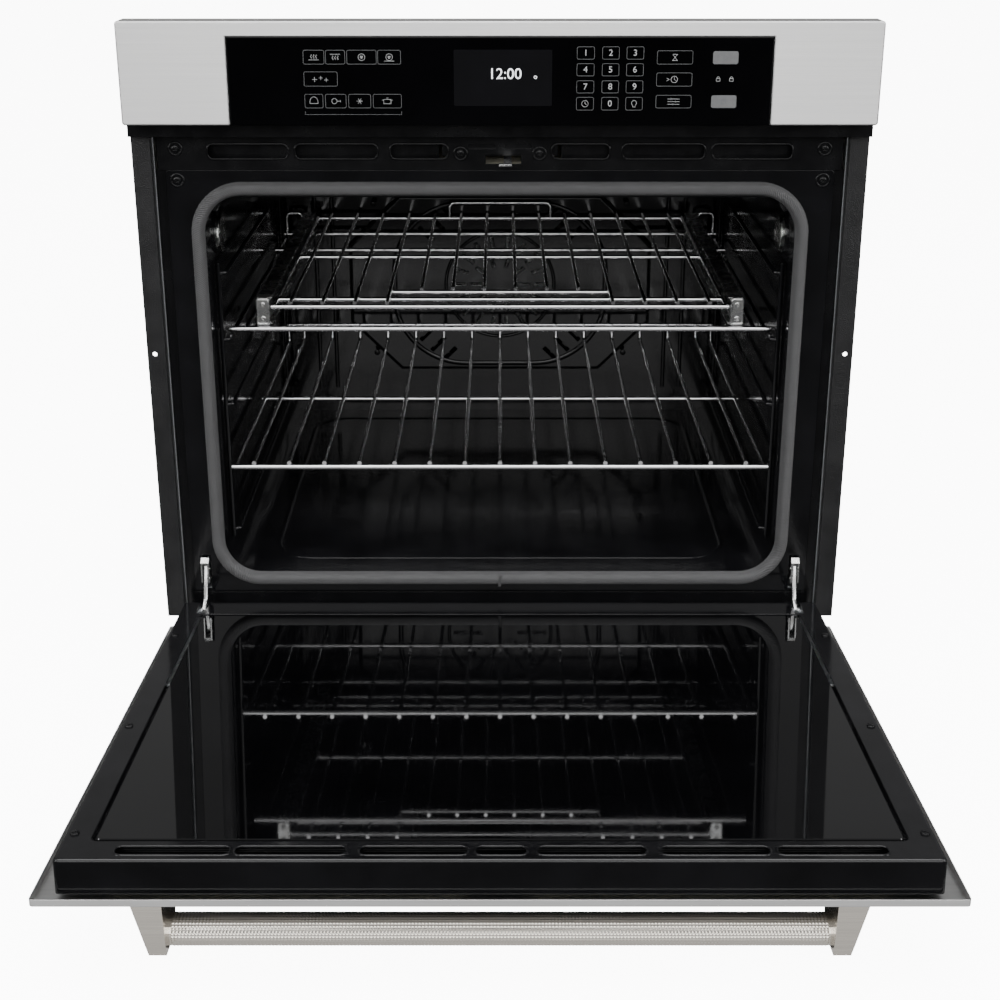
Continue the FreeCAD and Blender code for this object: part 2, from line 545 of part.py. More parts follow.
def door():
    back = FRONT + DOOR_THICK
    skin = rounded(
        -PANEL_HALF, PANEL_HALF, FRONT, FRONT + DOOR_SKIN_DEPTH, DOOR_LOW, DOOR_TOP, 3, Y_AXIS
    )
    skin = skin.makeFillet(1.6, [e for e in skin.Edges if e.BoundBox.YMax < FRONT + 0.1])
    hollow = box(
        -PANEL_HALF + 1.2, PANEL_HALF - 1.2, FRONT + 1.2, FRONT + 9, DOOR_LOW + 1.2, DOOR_TOP - 1.2
    )
    window = rounded(-235, 235, FRONT - 1, FRONT + 3, 150, 430, 12, Y_AXIS)
    feet = [Part.makeCylinder(2.6, 4, V(side * 296, FRONT - 1, 503), Y_AXIS) for side in SIDES]
    export("door_skin", opened(cut(skin, [hollow, window] + feet)))
    export("door_outer_glass", opened(box(-262, 262, FRONT + 1.3, FRONT + 5.3, 125, 455)))
    liner = rounded(-LINER_HALF, LINER_HALF, FRONT + 7, back, 26, LINER_TOP, 4, Y_AXIS)
    liner = liner.makeFillet(2.8, [e for e in liner.Edges if e.BoundBox.YMin > back - 0.1])
    inside = box(
        -LINER_HALF + SHEET, LINER_HALF - SHEET, FRONT + 6, back - SHEET, 26 + SHEET, LINER_TOP - SHEET
    )
    mouth = rounded(-335.4, 335.4, back - 3, back + 1, 62, 532, 6, Y_AXIS)
    holes = [inside, mouth]
    slots = ((-311, -219), (-214, -125), (-113, -27), (-19, 21), (31, 118), (131, 218), (225, 314))
    for low, high in slots:
        holes.append(rounded(low, high, back - 3, back + 1, 540, 552, 3, Y_AXIS))
    for side in SIDES:
        holes.append(box(side * (HINGE_X - 5), side * (HINGE_X + 5), FRONT + 8, back + 1, 22, 60))
        for z in LINER_SCREWS:
            holes.append(Part.makeCylinder(1.8, 4, V(side * 351, back - 3, z), Y_AXIS))
    tray = cut(liner, holes)
    lip = rounded(-LINER_HALF + 2, LINER_HALF - 2, back - 6, back - 4.8, 62, 536, 4, Y_AXIS)
    lip = lip.cut(rounded(-322, 322, back - 7, back - 4, 74, 520, 6, Y_AXIS))
    lip = lip.common(box(-340, 340, back - 7, back - 4, 61.9, 536.1))
    step = rounded(-336.6, 336.6, back - 6, back - SHEET, 60.8, 533.2, 7, Y_AXIS)
    step = step.cut(rounded(-335.4, 335.4, back - 7, back, 62, 532, 6, Y_AXIS))
    pockets = [box(side * 326, side * 345, back - 8, back - 1.3, 55, 235) for side in SIDES]
    export("door_liner", opened(cut(fuse([tray, step, lip]), pockets)))
    glass = rounded(-332, 332, back - 4.4, back, 66, 529, 4, Y_AXIS)
    edges = [e for e in glass.Edges if e.BoundBox.YMin > back - 0.1]
    export("door_inner_glass", opened(glass.makeChamfer(0.8, edges)))
    export("door_middle_glass", opened(box(-300, 300, FRONT + 18, FRONT + 22, 110, 500)))
    pad = box(-322, 322, FRONT + 8, FRONT + 30, 80, 528)
    pad = pad.cut(box(-304, 304, FRONT + 7, FRONT + 31, 105, 505))
    export("door_insulation", opened(pad))
    rails = []
    for z0, z1 in ((105.2, 120), (490, 504.8)):
        rail = box(-303, 303, FRONT + 9, FRONT + 31, z0, z1)
        low, high = (z0 + 4.6, z1 + 1) if z0 < 300 else (z0 - 1, z1 - 4.6)
        rails.append(opened(rail.cut(box(-304, 304, FRONT + 17.7, FRONT + 22.3, low, high))))
    group("glass_retainers", rails)
    screws = []
    for side in SIDES:
        screws.append(screw(side * 296, FRONT + 1.2, 503, V(0, -1, 0), 5, 2.6, 14))
        for z in LINER_SCREWS:
            screws.append(screw(side * 351, back, z, V(0, -1, 0), 3.6, 1.6, 1))
    group("door_screws", [opened(s) for s in screws])


def handle():
    z = 503.0
    standoff = 63.0
    bar = rod((-281, FRONT - standoff, z), (281, FRONT - standoff, z), 14)
    export("handle_bar", opened(bar))
    brackets = []
    for side in SIDES:
        rings = []
        for depth, wide, tall in ((0, 30, 60), (20, 27, 56), (62, 18, 44), (77, 15.5, 36)):
            x0 = side * 281
            x1 = side * (281 + wide)
            y = FRONT - depth
            low = z - tall / 2
            high = z + tall / 2
            corners = [V(x0, y, low), V(x1, y, low), V(x1, y, high), V(x0, y, high)]
            rings.append(Part.makePolygon(corners + corners[:1]))
        loft = Part.makeLoft(rings, True, True)
        bore = Part.makeCylinder(2.4, 14, V(side * 296, FRONT - 13.2, z), Y_AXIS)
        brackets.append(opened(loft.cut(bore)))
    group("handle_brackets", brackets)


os.makedirs("parts", exist_ok=True)
case()
front()
control_panel()
cavity()
heaters()
convection()
guides()
racks()
latch()
cooling()
wiring()
hinges()
door()
handle()
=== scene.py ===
import json
import math

import bmesh
import bpy
from mathutils import Matrix, Vector


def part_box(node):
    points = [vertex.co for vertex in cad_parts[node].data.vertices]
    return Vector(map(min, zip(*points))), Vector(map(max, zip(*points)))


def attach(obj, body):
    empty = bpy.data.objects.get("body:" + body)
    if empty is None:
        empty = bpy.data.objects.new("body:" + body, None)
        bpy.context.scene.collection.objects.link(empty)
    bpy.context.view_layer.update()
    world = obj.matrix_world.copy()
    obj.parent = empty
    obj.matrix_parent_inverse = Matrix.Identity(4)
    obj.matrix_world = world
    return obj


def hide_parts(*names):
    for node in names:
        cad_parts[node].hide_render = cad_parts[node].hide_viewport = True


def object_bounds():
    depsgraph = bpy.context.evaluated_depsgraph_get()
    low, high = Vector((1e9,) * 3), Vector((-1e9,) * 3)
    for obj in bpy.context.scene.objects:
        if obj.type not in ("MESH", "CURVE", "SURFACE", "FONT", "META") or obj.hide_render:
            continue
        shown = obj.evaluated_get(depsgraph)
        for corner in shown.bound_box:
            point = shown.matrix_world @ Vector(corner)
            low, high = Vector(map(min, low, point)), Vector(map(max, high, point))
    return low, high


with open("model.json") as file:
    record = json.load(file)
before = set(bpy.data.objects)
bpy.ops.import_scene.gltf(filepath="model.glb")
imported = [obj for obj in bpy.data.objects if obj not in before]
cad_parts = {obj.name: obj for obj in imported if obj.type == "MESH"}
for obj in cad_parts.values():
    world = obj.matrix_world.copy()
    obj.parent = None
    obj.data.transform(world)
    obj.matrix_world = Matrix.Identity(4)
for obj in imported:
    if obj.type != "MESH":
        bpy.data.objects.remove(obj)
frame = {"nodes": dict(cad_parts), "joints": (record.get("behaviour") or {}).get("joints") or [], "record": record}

# A built-in wall oven with its door open. Lengths below are in millimetres on the object and
# become metres in its meshes. X runs to the user's right, Y into the wall, Z up.

MM = 0.001
CAD_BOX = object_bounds()
NODES = frame["nodes"]


def span(node):
    """The lowest and highest corner of a node, in millimetres."""
    low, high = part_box(node)
    return Vector(low) / MM, Vector(high) / MM


# ---------------------------------------------------------------- finishes: shared effects


def new_effect(name, inputs, outputs):
    """An empty shader node group. A number or a colour as default gives the socket's type."""
    tree = bpy.data.node_groups.new(name, "ShaderNodeTree")
    kinds = {float: "NodeSocketFloat", tuple: "NodeSocketColor"}
    for label, value in inputs.items():
        socket = tree.interface.new_socket(label, in_out="INPUT", socket_type=kinds[type(value)])
        socket.default_value = value
    kinds = {"Colour": "NodeSocketColor", "Normal": "NodeSocketVector"}
    for label in outputs:
        kind = kinds.get(label, "NodeSocketFloat")
        tree.interface.new_socket(label, in_out="OUTPUT", socket_type=kind)
    return tree, tree.nodes.new("NodeGroupInput").outputs, tree.nodes.new("NodeGroupOutput")


def connect(tree, target, **outputs):
    for label, value in outputs.items():
        tree.links.new(value, target.inputs[label.replace("_", " ")])


def node(tree, kind, settings=None, sockets=None):
    """A shader node with its settings and its sockets, which take a value or another node's output."""
    made = tree.nodes.new("ShaderNode" + kind)
    for name, value in (settings or {}).items():
        setattr(made, name, value)
    for name, value in (sockets or {}).items():
        if isinstance(value, bpy.types.NodeSocket):
            tree.links.new(value, made.inputs[name])
        else:
            made.inputs[name].default_value = value
    return made


def placed(tree, stretch=(1.0, 1.0, 1.0)):
    """Coordinates on the object in metres, stretched along its axes."""
    spot = node(tree, "TexCoord").outputs["Object"]
    return node(tree, "Mapping", None, {"Vector": spot, "Scale": stretch}).outputs["Vector"]


def noise(tree, scale, detail, stretch=(1.0, 1.0, 1.0), output="Fac", **more):
    """Cloudy unevenness over the object, drawn out along its axes by stretch."""
    sockets = {"Vector": placed(tree, stretch), "Scale": scale, "Detail": detail}
    return node(tree, "TexNoise", None, sockets | more).outputs[output]


def ramp(tree, source, low, high, low_value=0.0, high_value=1.0):
    """Turns the stretch low..high of a value into low_value..high_value, held at both ends."""
    return node(tree, "MapRange", None, {
        "Value": source, "From Min": low, "From Max": high, "To Min": low_value, "To Max": high_value,
    }).outputs["Result"]


def blend_colours(tree, mask, first, second, mode="MIX"):
    mixed = node(tree, "Mix", {"data_type": "RGBA", "blend_type": mode})
    for index, value in ((0, mask), (6, first), (7, second)):
        if isinstance(value, bpy.types.NodeSocket):
            tree.links.new(value, mixed.inputs[index])
        else:
            mixed.inputs[index].default_value = value
    return mixed.outputs[2]


def math_node(tree, operation, first, second):
    return node(tree, "Math", {"operation": operation}, {0: first, 1: second}).outputs[0]


def weighted(tree, first, first_share, second, second_share):
    """Two values added, each with its own weight."""
    first = math_node(tree, "MULTIPLY", first, first_share)
    return math_node(tree, "ADD", first, math_node(tree, "MULTIPLY", second, second_share))


def brushed_grain_effect():
    """Fine straight scratches along X, in three sizes, as brushing leaves them."""
    tree, given, result = new_effect(
        "brushed grain",
        {"Colour": (0.7, 0.7, 0.7, 1.0), "Contrast": 0.2, "Roughness": 0.3},
        ("Colour", "Roughness", "Height"),
    )
    fine = noise(tree, 1.0, 4.0, (9.0, 1400.0, 1400.0), Roughness=0.65)
    broad = noise(tree, 1.0, 3.0, (3.0, 220.0, 220.0))
    cloud = noise(tree, 5.0, 2.0)
    lines = weighted(tree, fine, 0.6, broad, 0.4)
    shade = math_node(tree, "MULTIPLY", math_node(tree, "SUBTRACT", lines, 0.5), given["Contrast"])
    dark = blend_colours(tree, 1.0, given["Colour"], (0.72, 0.72, 0.73, 1.0), "MULTIPLY")
    colour = blend_colours(tree, ramp(tree, shade, 0.12, -0.12), given["Colour"], dark)
    streaks = ramp(tree, lines, 0.3, 0.7, -0.05, 0.07)
    uneven = math_node(tree, "ADD", streaks, ramp(tree, cloud, 0.3, 0.7, -0.03, 0.03))
    roughness = math_node(tree, "ADD", given["Roughness"], uneven)
    connect(tree, result, Colour=colour, Roughness=roughness, Height=lines)
    return tree


def mottle_effect():
    """Slow unevenness in colour and shine, with faint wipe marks, for paint, enamel and plate."""
    tree, given, result = new_effect(
        "mottle",
        {"Colour": (0.1, 0.1, 0.1, 1.0), "Second colour": (0.14, 0.14, 0.14, 1.0), "Size": 12.0,
         "Roughness": 0.3, "Spread": 0.08},
        ("Colour", "Roughness", "Mask"),
    )
    patches = noise(tree, given["Size"], 5.0, Roughness=0.6)
    wipes = noise(tree, 1.0, 3.0, (14.0, 60.0, 60.0), Distortion=0.6)
    mask = ramp(tree, patches, 0.35, 0.68)
    colour = blend_colours(tree, mask, given["Colour"], given["Second colour"])
    uneven = weighted(tree, patches, 0.7, wipes, 0.3)
    swing = math_node(tree, "MULTIPLY", ramp(tree, uneven, 0.32, 0.68, -1.0, 1.0), given["Spread"])
    roughness = math_node(tree, "ADD", given["Roughness"], swing)
    connect(tree, result, Colour=colour, Roughness=roughness, Mask=mask)
    return tree


def orange_peel_effect():
    """The slightly lumpy skin of sprayed paint and fired enamel."""
    tree, given, result = new_effect("orange peel", {"Lump": 300.0, "Pebble": 0.0}, ("Height",))
    lumps = noise(tree, given["Lump"], 2.0)
    pebbles = node(tree, "TexVoronoi", {"feature": "SMOOTH_F1"}, {
        "Vector": placed(tree), "Scale": given["Lump"], "Smoothness": 0.6,
    }).outputs["Distance"]
    mixed = math_node(tree, "ADD", lumps, math_node(tree, "MULTIPLY", pebbles, given["Pebble"]))
    connect(tree, result, Height=mixed)
    return tree


def edge_wear_effect():
    """Rounds sharp edges to the eye and gives a broken mask along them, where a painted highlight lightens the
    edges.
    """
    tree, given, result = new_effect(
        "edge highlight", {"Radius": 0.0012, "Break up": 60.0}, ("Mask", "Normal")
    )
    rounded = node(tree, "Bevel", {"samples": 4}, {"Radius": given["Radius"]})
    flat = node(tree, "NewGeometry").outputs["Normal"]
    turn = node(tree, "VectorMath", {"operation": "DOT_PRODUCT"}, {0: rounded.outputs["Normal"], 1: flat})
    edge = ramp(tree, turn.outputs["Value"], 0.995, 0.86)
    broken = noise(tree, given["Break up"], 4.0)
    mask = math_node(tree, "MULTIPLY", edge, ramp(tree, broken, 0.42, 0.62))
    connect(tree, result, Mask=mask, Normal=rounded.outputs["Normal"])
    return tree


def spangle_effect():
    """Frosted crystals on zinc, each catching the light its own way."""
    tree, given, result = new_effect(
        "spangle",
        {"Colour": (0.6, 0.61, 0.62, 1.0), "Crystal": 110.0, "Contrast": 0.25, "Roughness": 0.4},
        ("Colour", "Roughness", "Height"),
    )
    warp = noise(tree, 40.0, 2.0, output="Color")
    bent = node(tree, "VectorMath", {"operation": "MULTIPLY_ADD"}, {
        0: warp, 1: (0.006, 0.006, 0.006), 2: placed(tree),
    }).outputs["Vector"]
    cells = node(tree, "TexVoronoi", None, {
        "Vector": bent, "Scale": given["Crystal"],
    }).outputs["Color"]
    tone = node(tree, "SeparateColor", None, {"Color": cells}).outputs["Red"]
    dark = blend_colours(tree, 1.0, given["Colour"], (0.62, 0.64, 0.66, 1.0), "MULTIPLY")
    share = math_node(tree, "MULTIPLY", tone, given["Contrast"])
    colour = blend_colours(tree, share, given["Colour"], dark)
    swing = ramp(tree, tone, 0.0, 1.0, -0.06, 0.1)
    roughness = math_node(tree, "ADD", given["Roughness"], swing)
    connect(tree, result, Colour=colour, Roughness=roughness, Height=tone)
    return tree


def fleck_effect():
    """Scattered tiny pale flecks, as in grey speckled enamel."""
    tree, given, result = new_effect("flecks", {"Size": 420.0, "Amount": 0.12}, ("Mask",))
    cells = node(tree, "TexVoronoi", None, {"Vector": placed(tree), "Scale": given["Size"]})
    chance = node(tree, "SeparateColor", None, {"Color": cells.outputs["Color"]}).outputs["Green"]
    chosen = math_node(tree, "LESS_THAN", chance, given["Amount"])
    dot = ramp(tree, cells.outputs["Distance"], 0.34, 0.2)
    connect(tree, result, Mask=math_node(tree, "MULTIPLY", chosen, dot))
    return tree


GRAIN = brushed_grain_effect()
MOTTLE = mottle_effect()
PEEL = orange_peel_effect()
EDGE_HIGHLIGHT = edge_wear_effect()
SPANGLE = spangle_effect()
FLECKS = fleck_effect()


# ---------------------------------------------------------------- finishes: materials


def new_finish(name, **plain):
    """A material whose shader's own sockets hold what is the same all over."""
    finish = bpy.data.materials.new(name)
    finish.use_nodes = True
    tree = finish.node_tree
    shader = tree.nodes["Principled BSDF"]
    for label, value in plain.items():
        shader.inputs[label.replace("_", " ")].default_value = value
    return finish, tree, shader


def effect(tree, group, **sockets):
    made = tree.nodes.new("ShaderNodeGroup")
    made.node_tree = group
    for label, value in sockets.items():
        socket = made.inputs[label.replace("_", " ")]
        if isinstance(value, bpy.types.NodeSocket):
            tree.links.new(value, socket)
        else:
            socket.default_value = value
    return made.outputs


def tinted(colour, share):
    """A lighter or darker tone of a colour."""
    return tuple(c * share for c in colour) + (1.0,)


def lay_relief(tree, shader, height, depth, base=None):
    """A bump of a given depth in metres, on top of a base normal."""
    bump = node(tree, "Bump", None, {"Height": height, "Distance": depth, "Strength": 1.0})
    if base:
        tree.links.new(base, bump.inputs["Normal"])
    connect(tree, shader, Normal=bump.outputs["Normal"])


def satin_steel():
    finish, tree, shader = new_finish("brushed satin steel", Metallic=1.0)
    grain = effect(tree, GRAIN, Colour=(0.68, 0.678, 0.67, 1.0), Contrast=0.4, Roughness=0.36)
    edge_sheen = effect(tree, EDGE_HIGHLIGHT, Radius=0.0008)
    connect(tree, shader, Base_Color=grain["Colour"], Roughness=grain["Roughness"])
    lay_relief(tree, shader, grain["Height"], 0.000015, edge_sheen["Normal"])
    return finish


def handle_nickel():
    finish, tree, shader = new_finish("warm satin nickel", Metallic=1.0)
    grain = effect(tree, GRAIN, Colour=(0.78, 0.735, 0.66, 1.0), Contrast=0.35, Roughness=0.24)
    connect(tree, shader, Base_Color=grain["Colour"], Roughness=grain["Roughness"])
    lay_relief(tree, shader, grain["Height"], 0.00002)
    return finish


def galvanised_sheet():
    finish, tree, shader = new_finish("galvanised sheet", Metallic=0.9)
    zinc = effect(tree, SPANGLE, Colour=(0.6, 0.615, 0.63, 1.0), Crystal=95.0,
                  Contrast=0.55, Roughness=0.38)
    edge_sheen = effect(tree, EDGE_HIGHLIGHT, Radius=0.001)
    connect(tree, shader, Base_Color=zinc["Colour"], Roughness=zinc["Roughness"])
    lay_relief(tree, shader, zinc["Height"], 0.00004, edge_sheen["Normal"])
    return finish


def mottled_finish(name, first, second, size, roughness, spread,
                   lump=None, pebble=0.0, depth=0.0, edge=None, **plain):
    """A finish a little uneven in colour and shine. lump and depth give it a skin, and edge
    is the radius in metres to which its sharp edges look rounded."""
    finish, tree, shader = new_finish(name, **plain)
    mottle = effect(tree, MOTTLE, Colour=first + (1.0,), Second_colour=second + (1.0,),
                    Size=size, Roughness=roughness, Spread=spread)
    connect(tree, shader, Base_Color=mottle["Colour"], Roughness=mottle["Roughness"])
    if lump:
        peel = effect(tree, PEEL, Lump=lump, Pebble=pebble)
        rounded = effect(tree, EDGE_HIGHLIGHT, Radius=edge)["Normal"] if edge else None
        lay_relief(tree, shader, peel["Height"], depth, rounded)
    return finish


def black_paint(name, colour, edge_highlight_colour, lump, pebble, depth, roughness):
    """Sprayed black paint, with a lighter painted highlight along its edges, broken up in patches."""
    finish, tree, shader = new_finish(name, IOR=1.38)
    edge_sheen = effect(tree, EDGE_HIGHLIGHT, Radius=0.0009)
    mottle = effect(tree, MOTTLE, Colour=colour + (1.0,), Second_colour=tinted(colour, 1.5),
                    Size=30.0, Roughness=roughness, Spread=0.06)
    peel = effect(tree, PEEL, Lump=lump, Pebble=pebble)
    # painted highlight: the edge mask mixes a lighter colour into the paint along its edges
    painted_edge_highlight = math_node(tree, "MULTIPLY", edge_sheen["Mask"], 0.6)
    connect(tree, shader, Base_Color=blend_colours(tree, painted_edge_highlight, mottle["Colour"], edge_highlight_colour + (1.0,)),
            Roughness=mottle["Roughness"])
    lay_relief(tree, shader, peel["Height"], depth, edge_sheen["Normal"])
    return finish


def black_enamel():
    finish, tree, shader = new_finish("gloss black enamel", IOR=1.45)
    mottle = effect(tree, MOTTLE, Colour=(0.003, 0.003, 0.0035, 1.0),
                    Second_colour=(0.006, 0.006, 0.007, 1.0), Size=18.0, Roughness=0.12, Spread=0.05)
    flecks = effect(tree, FLECKS, Size=620.0, Amount=0.07)
    peel = effect(tree, PEEL, Lump=190.0)
    edge_sheen = effect(tree, EDGE_HIGHLIGHT, Radius=0.0012)
    spotted = blend_colours(tree, math_node(tree, "MULTIPLY", flecks["Mask"], 0.4), mottle["Colour"],
                            (0.02, 0.021, 0.023, 1.0))
    connect(tree, shader, Base_Color=spotted, Roughness=mottle["Roughness"])
    lay_relief(tree, shader, peel["Height"], 0.00005, edge_sheen["Normal"])
    return finish


def black_glass(name, index, roughness):
    return mottled_finish(name, (0.001, 0.001, 0.0012), (0.0018, 0.0018, 0.0022), 7.0, roughness, 0.015,
                          IOR=index)


def braided_gasket():
    finish, tree, shader = new_finish("braided glass-fibre rope", Sheen_Weight=0.1)
    weave = node(tree, "UVMap").outputs["UV"]
    strands = node(tree, "TexWave", {"wave_type": "BANDS", "bands_direction": "DIAGONAL"}, {
        "Vector": weave, "Scale": 0.5, "Distortion": 1.2, "Detail": 2.0, "Detail Scale": 1.6,
    }).outputs["Fac"]
    mottle = effect(tree, MOTTLE, Colour=(0.03, 0.03, 0.031, 1.0),
                    Second_colour=(0.055, 0.055, 0.057, 1.0), Size=90.0, Roughness=0.62, Spread=0.1)
    crossed = ramp(tree, strands, 0.2, 0.8, 0.0, 0.6)
    shade = blend_colours(tree, crossed, mottle["Colour"], (0.12, 0.12, 0.123, 1.0))
    peel = effect(tree, PEEL, Lump=2200.0)
    connect(tree, shader, Base_Color=shade, Roughness=mottle["Roughness"])
    relief = math_node(tree, "ADD", strands, math_node(tree, "MULTIPLY", peel["Height"], 0.5))
    lay_relief(tree, shader, relief, 0.0005)
    return finish


def mineral_wool():
    finish, tree, shader = new_finish("mineral wool", Sheen_Weight=0.2)
    fibres = noise(tree, 1.0, 6.0, (90.0, 260.0, 900.0), Distortion=1.4)
    mottle = effect(tree, MOTTLE, Colour=(0.62, 0.56, 0.38, 1.0), Second_colour=(0.76, 0.71, 0.55, 1.0),
                    Size=35.0, Roughness=0.9, Spread=0.05)
    shade = blend_colours(tree, ramp(tree, fibres, 0.35, 0.6), (0.4, 0.36, 0.24, 1.0), mottle["Colour"])
    connect(tree, shader, Base_Color=shade, Roughness=mottle["Roughness"])
    lay_relief(tree, shader, fibres, 0.002)
    return finish


def circuit_board():
    finish, tree, shader = new_finish("green resist board", Coat_Weight=0.3, Coat_Roughness=0.2)
    tracks = node(tree, "TexBrick", None, {
        "Vector": placed(tree), "Scale": 160.0, "Mortar Size": 0.05,
        "Color1": (0.01, 0.1, 0.04, 1.0), "Color2": (0.015, 0.14, 0.055, 1.0),
        "Mortar": (0.03, 0.2, 0.09, 1.0),
    }).outputs["Color"]
    mottle = effect(tree, MOTTLE, Size=25.0, Roughness=0.35, Spread=0.08)
    connect(tree, shader, Base_Color=tracks, Roughness=mottle["Roughness"])
    return finish


def glowing(name, first, second, size, roughness, spread, glow, **plain):
    """A matt layer on the glass that is lit a little from behind."""
    finish, tree, shader = new_finish(name, Emission_Strength=glow, **plain)
    mottle = effect(tree, MOTTLE, Colour=first + (1.0,), Second_colour=second,
                    Size=size, Roughness=roughness, Spread=spread)
    connect(tree, shader, Base_Color=mottle["Colour"], Emission_Color=mottle["Colour"],
            Roughness=mottle["Roughness"])
    return finish


def screen_print(name, colour, glow):
    return glowing(name, colour, tinted(colour, 0.86), 160.0, 0.5, 0.05, glow)


FINISHES = {
    "galvanised": galvanised_sheet(),
    "satin_steel": satin_steel(),
    "black_flange": black_paint(
        "pebbled black paint", (0.012, 0.012, 0.0125), (0.05, 0.05, 0.05),
        lump=950.0, pebble=1.0, depth=0.00028, roughness=0.38),
    "black_enamel": black_enamel(),
    "black_trim": black_paint(
        "satin black paint", (0.004, 0.004, 0.0045), (0.03, 0.03, 0.03),
        lump=260.0, pebble=0.2, depth=0.00005, roughness=0.24),
    "black_glass": black_glass("back-painted black glass", 1.6, 0.03),
    "clear_glass": mottled_finish(
        "tinted heat-reflecting glass", (0.55, 0.6, 0.6), (0.5, 0.56, 0.56), 4.0, 0.02, 0.01,
        IOR=1.5, Transmission_Weight=1.0),
    "lamp_glass": mottled_finish(
        "moulded lamp glass", (0.93, 0.94, 0.92), (0.88, 0.89, 0.87), 80.0, 0.08, 0.04,
        lump=260.0, pebble=0.6, depth=0.0003, IOR=1.47, Transmission_Weight=1.0),
    "chrome_wire": mottled_finish(
        "bright chrome wire", (0.86, 0.86, 0.87), (0.74, 0.74, 0.75), 45.0, 0.1, 0.06,
        lump=700.0, depth=0.00003, Metallic=1.0),
    "zinc_steel": mottled_finish(
        "bright zinc plate", (0.72, 0.73, 0.74), (0.58, 0.58, 0.56), 60.0, 0.27, 0.1,
        lump=900.0, depth=0.00004, edge=0.0007, Metallic=1.0),
    "heater": mottled_finish(
        "oxidised heater sheath", (0.035, 0.033, 0.032), (0.09, 0.075, 0.065), 24.0, 0.5, 0.12,
        lump=1200.0, depth=0.0001, Metallic=0.6),
    "gasket": braided_gasket(),
    "wool": mineral_wool(),
    "handle": handle_nickel(),
    "plastic": mottled_finish(
        "moulded black plastic", (0.018, 0.018, 0.019), (0.026, 0.026, 0.027), 50.0, 0.45, 0.06,
        lump=1500.0, pebble=0.5, depth=0.00008, edge=0.0006),
    "board": circuit_board(),
    "ceramic": mottled_finish(
        "unglazed ceramic", (0.82, 0.79, 0.71), (0.74, 0.7, 0.61), 40.0, 0.65, 0.08,
        lump=1600.0, depth=0.00012, edge=0.0008),
}
PANEL_GLASS = black_glass("low-glare panel glass", 1.2, 0.05)
NODE_FINISHES = {"control_glass": PANEL_GLASS}
KEY_INK = screen_print("grey key print", (0.11, 0.113, 0.116), 0.1)
DIGIT_INK = screen_print("white numeral print", (0.36, 0.365, 0.37), 0.3)
PAD_INK = screen_print("filled grey key print", (0.13, 0.132, 0.135), 0.1)
LIT_DIGITS = screen_print("lit clock digits", (0.9, 0.92, 0.95), 1.6)
DISPLAY_FILM = glowing("dark display film", (0.0045, 0.0045, 0.005), (0.006, 0.006, 0.007, 1.0),
                       9.0, 0.08, 0.03, 0.3, IOR=1.2)


def finish_frame():
    """Gives each node of the frame the finish of its slot."""
    for part in frame["record"]["subparts"]:
        for slot in NODES[part["node"]].material_slots:
            slot.material = NODE_FINISHES.get(part["node"], FINISHES[part["material_slot"]])


# ---------------------------------------------------------------- mesh helpers


def piece(name, mesh, body, slot, finish=None, smooth=None):
    """A new piece: linked, finished, riding on its body. smooth is the sharp-edge angle in degrees."""
    made = bpy.data.objects.new(name, mesh)
    bpy.context.scene.collection.objects.link(made)
    mesh.materials.clear()
    mesh.materials.append(finish or FINISHES[slot])
    if smooth is not None:
        mesh.shade_smooth()
        mesh.set_sharp_from_angle(angle=math.radians(smooth))
    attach(made, body)
    return made


def drawn_piece(name, shape, body, slot, finish=None, smooth=None):
    """A piece from a bmesh drawn in millimetres: its mesh is in metres, faces turned outwards."""
    bmesh.ops.recalc_face_normals(shape, faces=shape.faces)
    shape.transform(Matrix.Scale(MM, 4))
    mesh = bpy.data.meshes.new(name)
    shape.to_mesh(mesh)
    shape.free()
    return piece(name, mesh, body, slot, finish, smooth)


def round_edges(made, width, steep):
    """Rounds the edges of a piece that are sharper than steep degrees. width is in millimetres."""
    rounding = made.modifiers.new("rounded edges", "BEVEL")
    rounding.width = width * MM
    rounding.segments = 2
    rounding.limit_method = "ANGLE"
    rounding.angle_limit = math.radians(steep)
    return rounding


def skin(shape, rings):
    """Joins rings of points, one after the other, with four-sided faces."""
    for a, b in zip(rings, rings[1:]):
        for i in range(len(a)):
            j = (i + 1) % len(a)
            shape.faces.new((a[i], a[j], b[j], b[i]))


def cap(shape, rings):
    """Closes the first and the last ring of a tube."""
    shape.faces.new(rings[0])
    shape.faces.new(rings[-1])


def arc_points(centre_x, centre_z, radius, start, end, count):
    """Points of an arc in the X-Z plane, angles in degrees."""
    turns = [math.radians(start + (end - start) * k / (count - 1)) for k in range(count)]
    return [(centre_x + radius * math.cos(t), centre_z + radius * math.sin(t)) for t in turns]


def circle(x, z, radius, count):
    """The corner points of a circle drawn with so many sides."""
    return arc_points(x, z, radius, 0, 360 - 360 / count, count)


def rounded_outline(x0, x1, z0, z1, radius, count=6):
    """The corner points of a rounded rectangle, anticlockwise."""
    corners = ((x1, z1, 0), (x0, z1, 90), (x0, z0, 180), (x1, z0, 270))
    points = []
    for x, z, start in corners:
        centre_x = x - radius if x == x1 else x + radius
        centre_z = z - radius if z == z1 else z + radius
        points += arc_points(centre_x, centre_z, radius, start, start + 90, count)
    return points


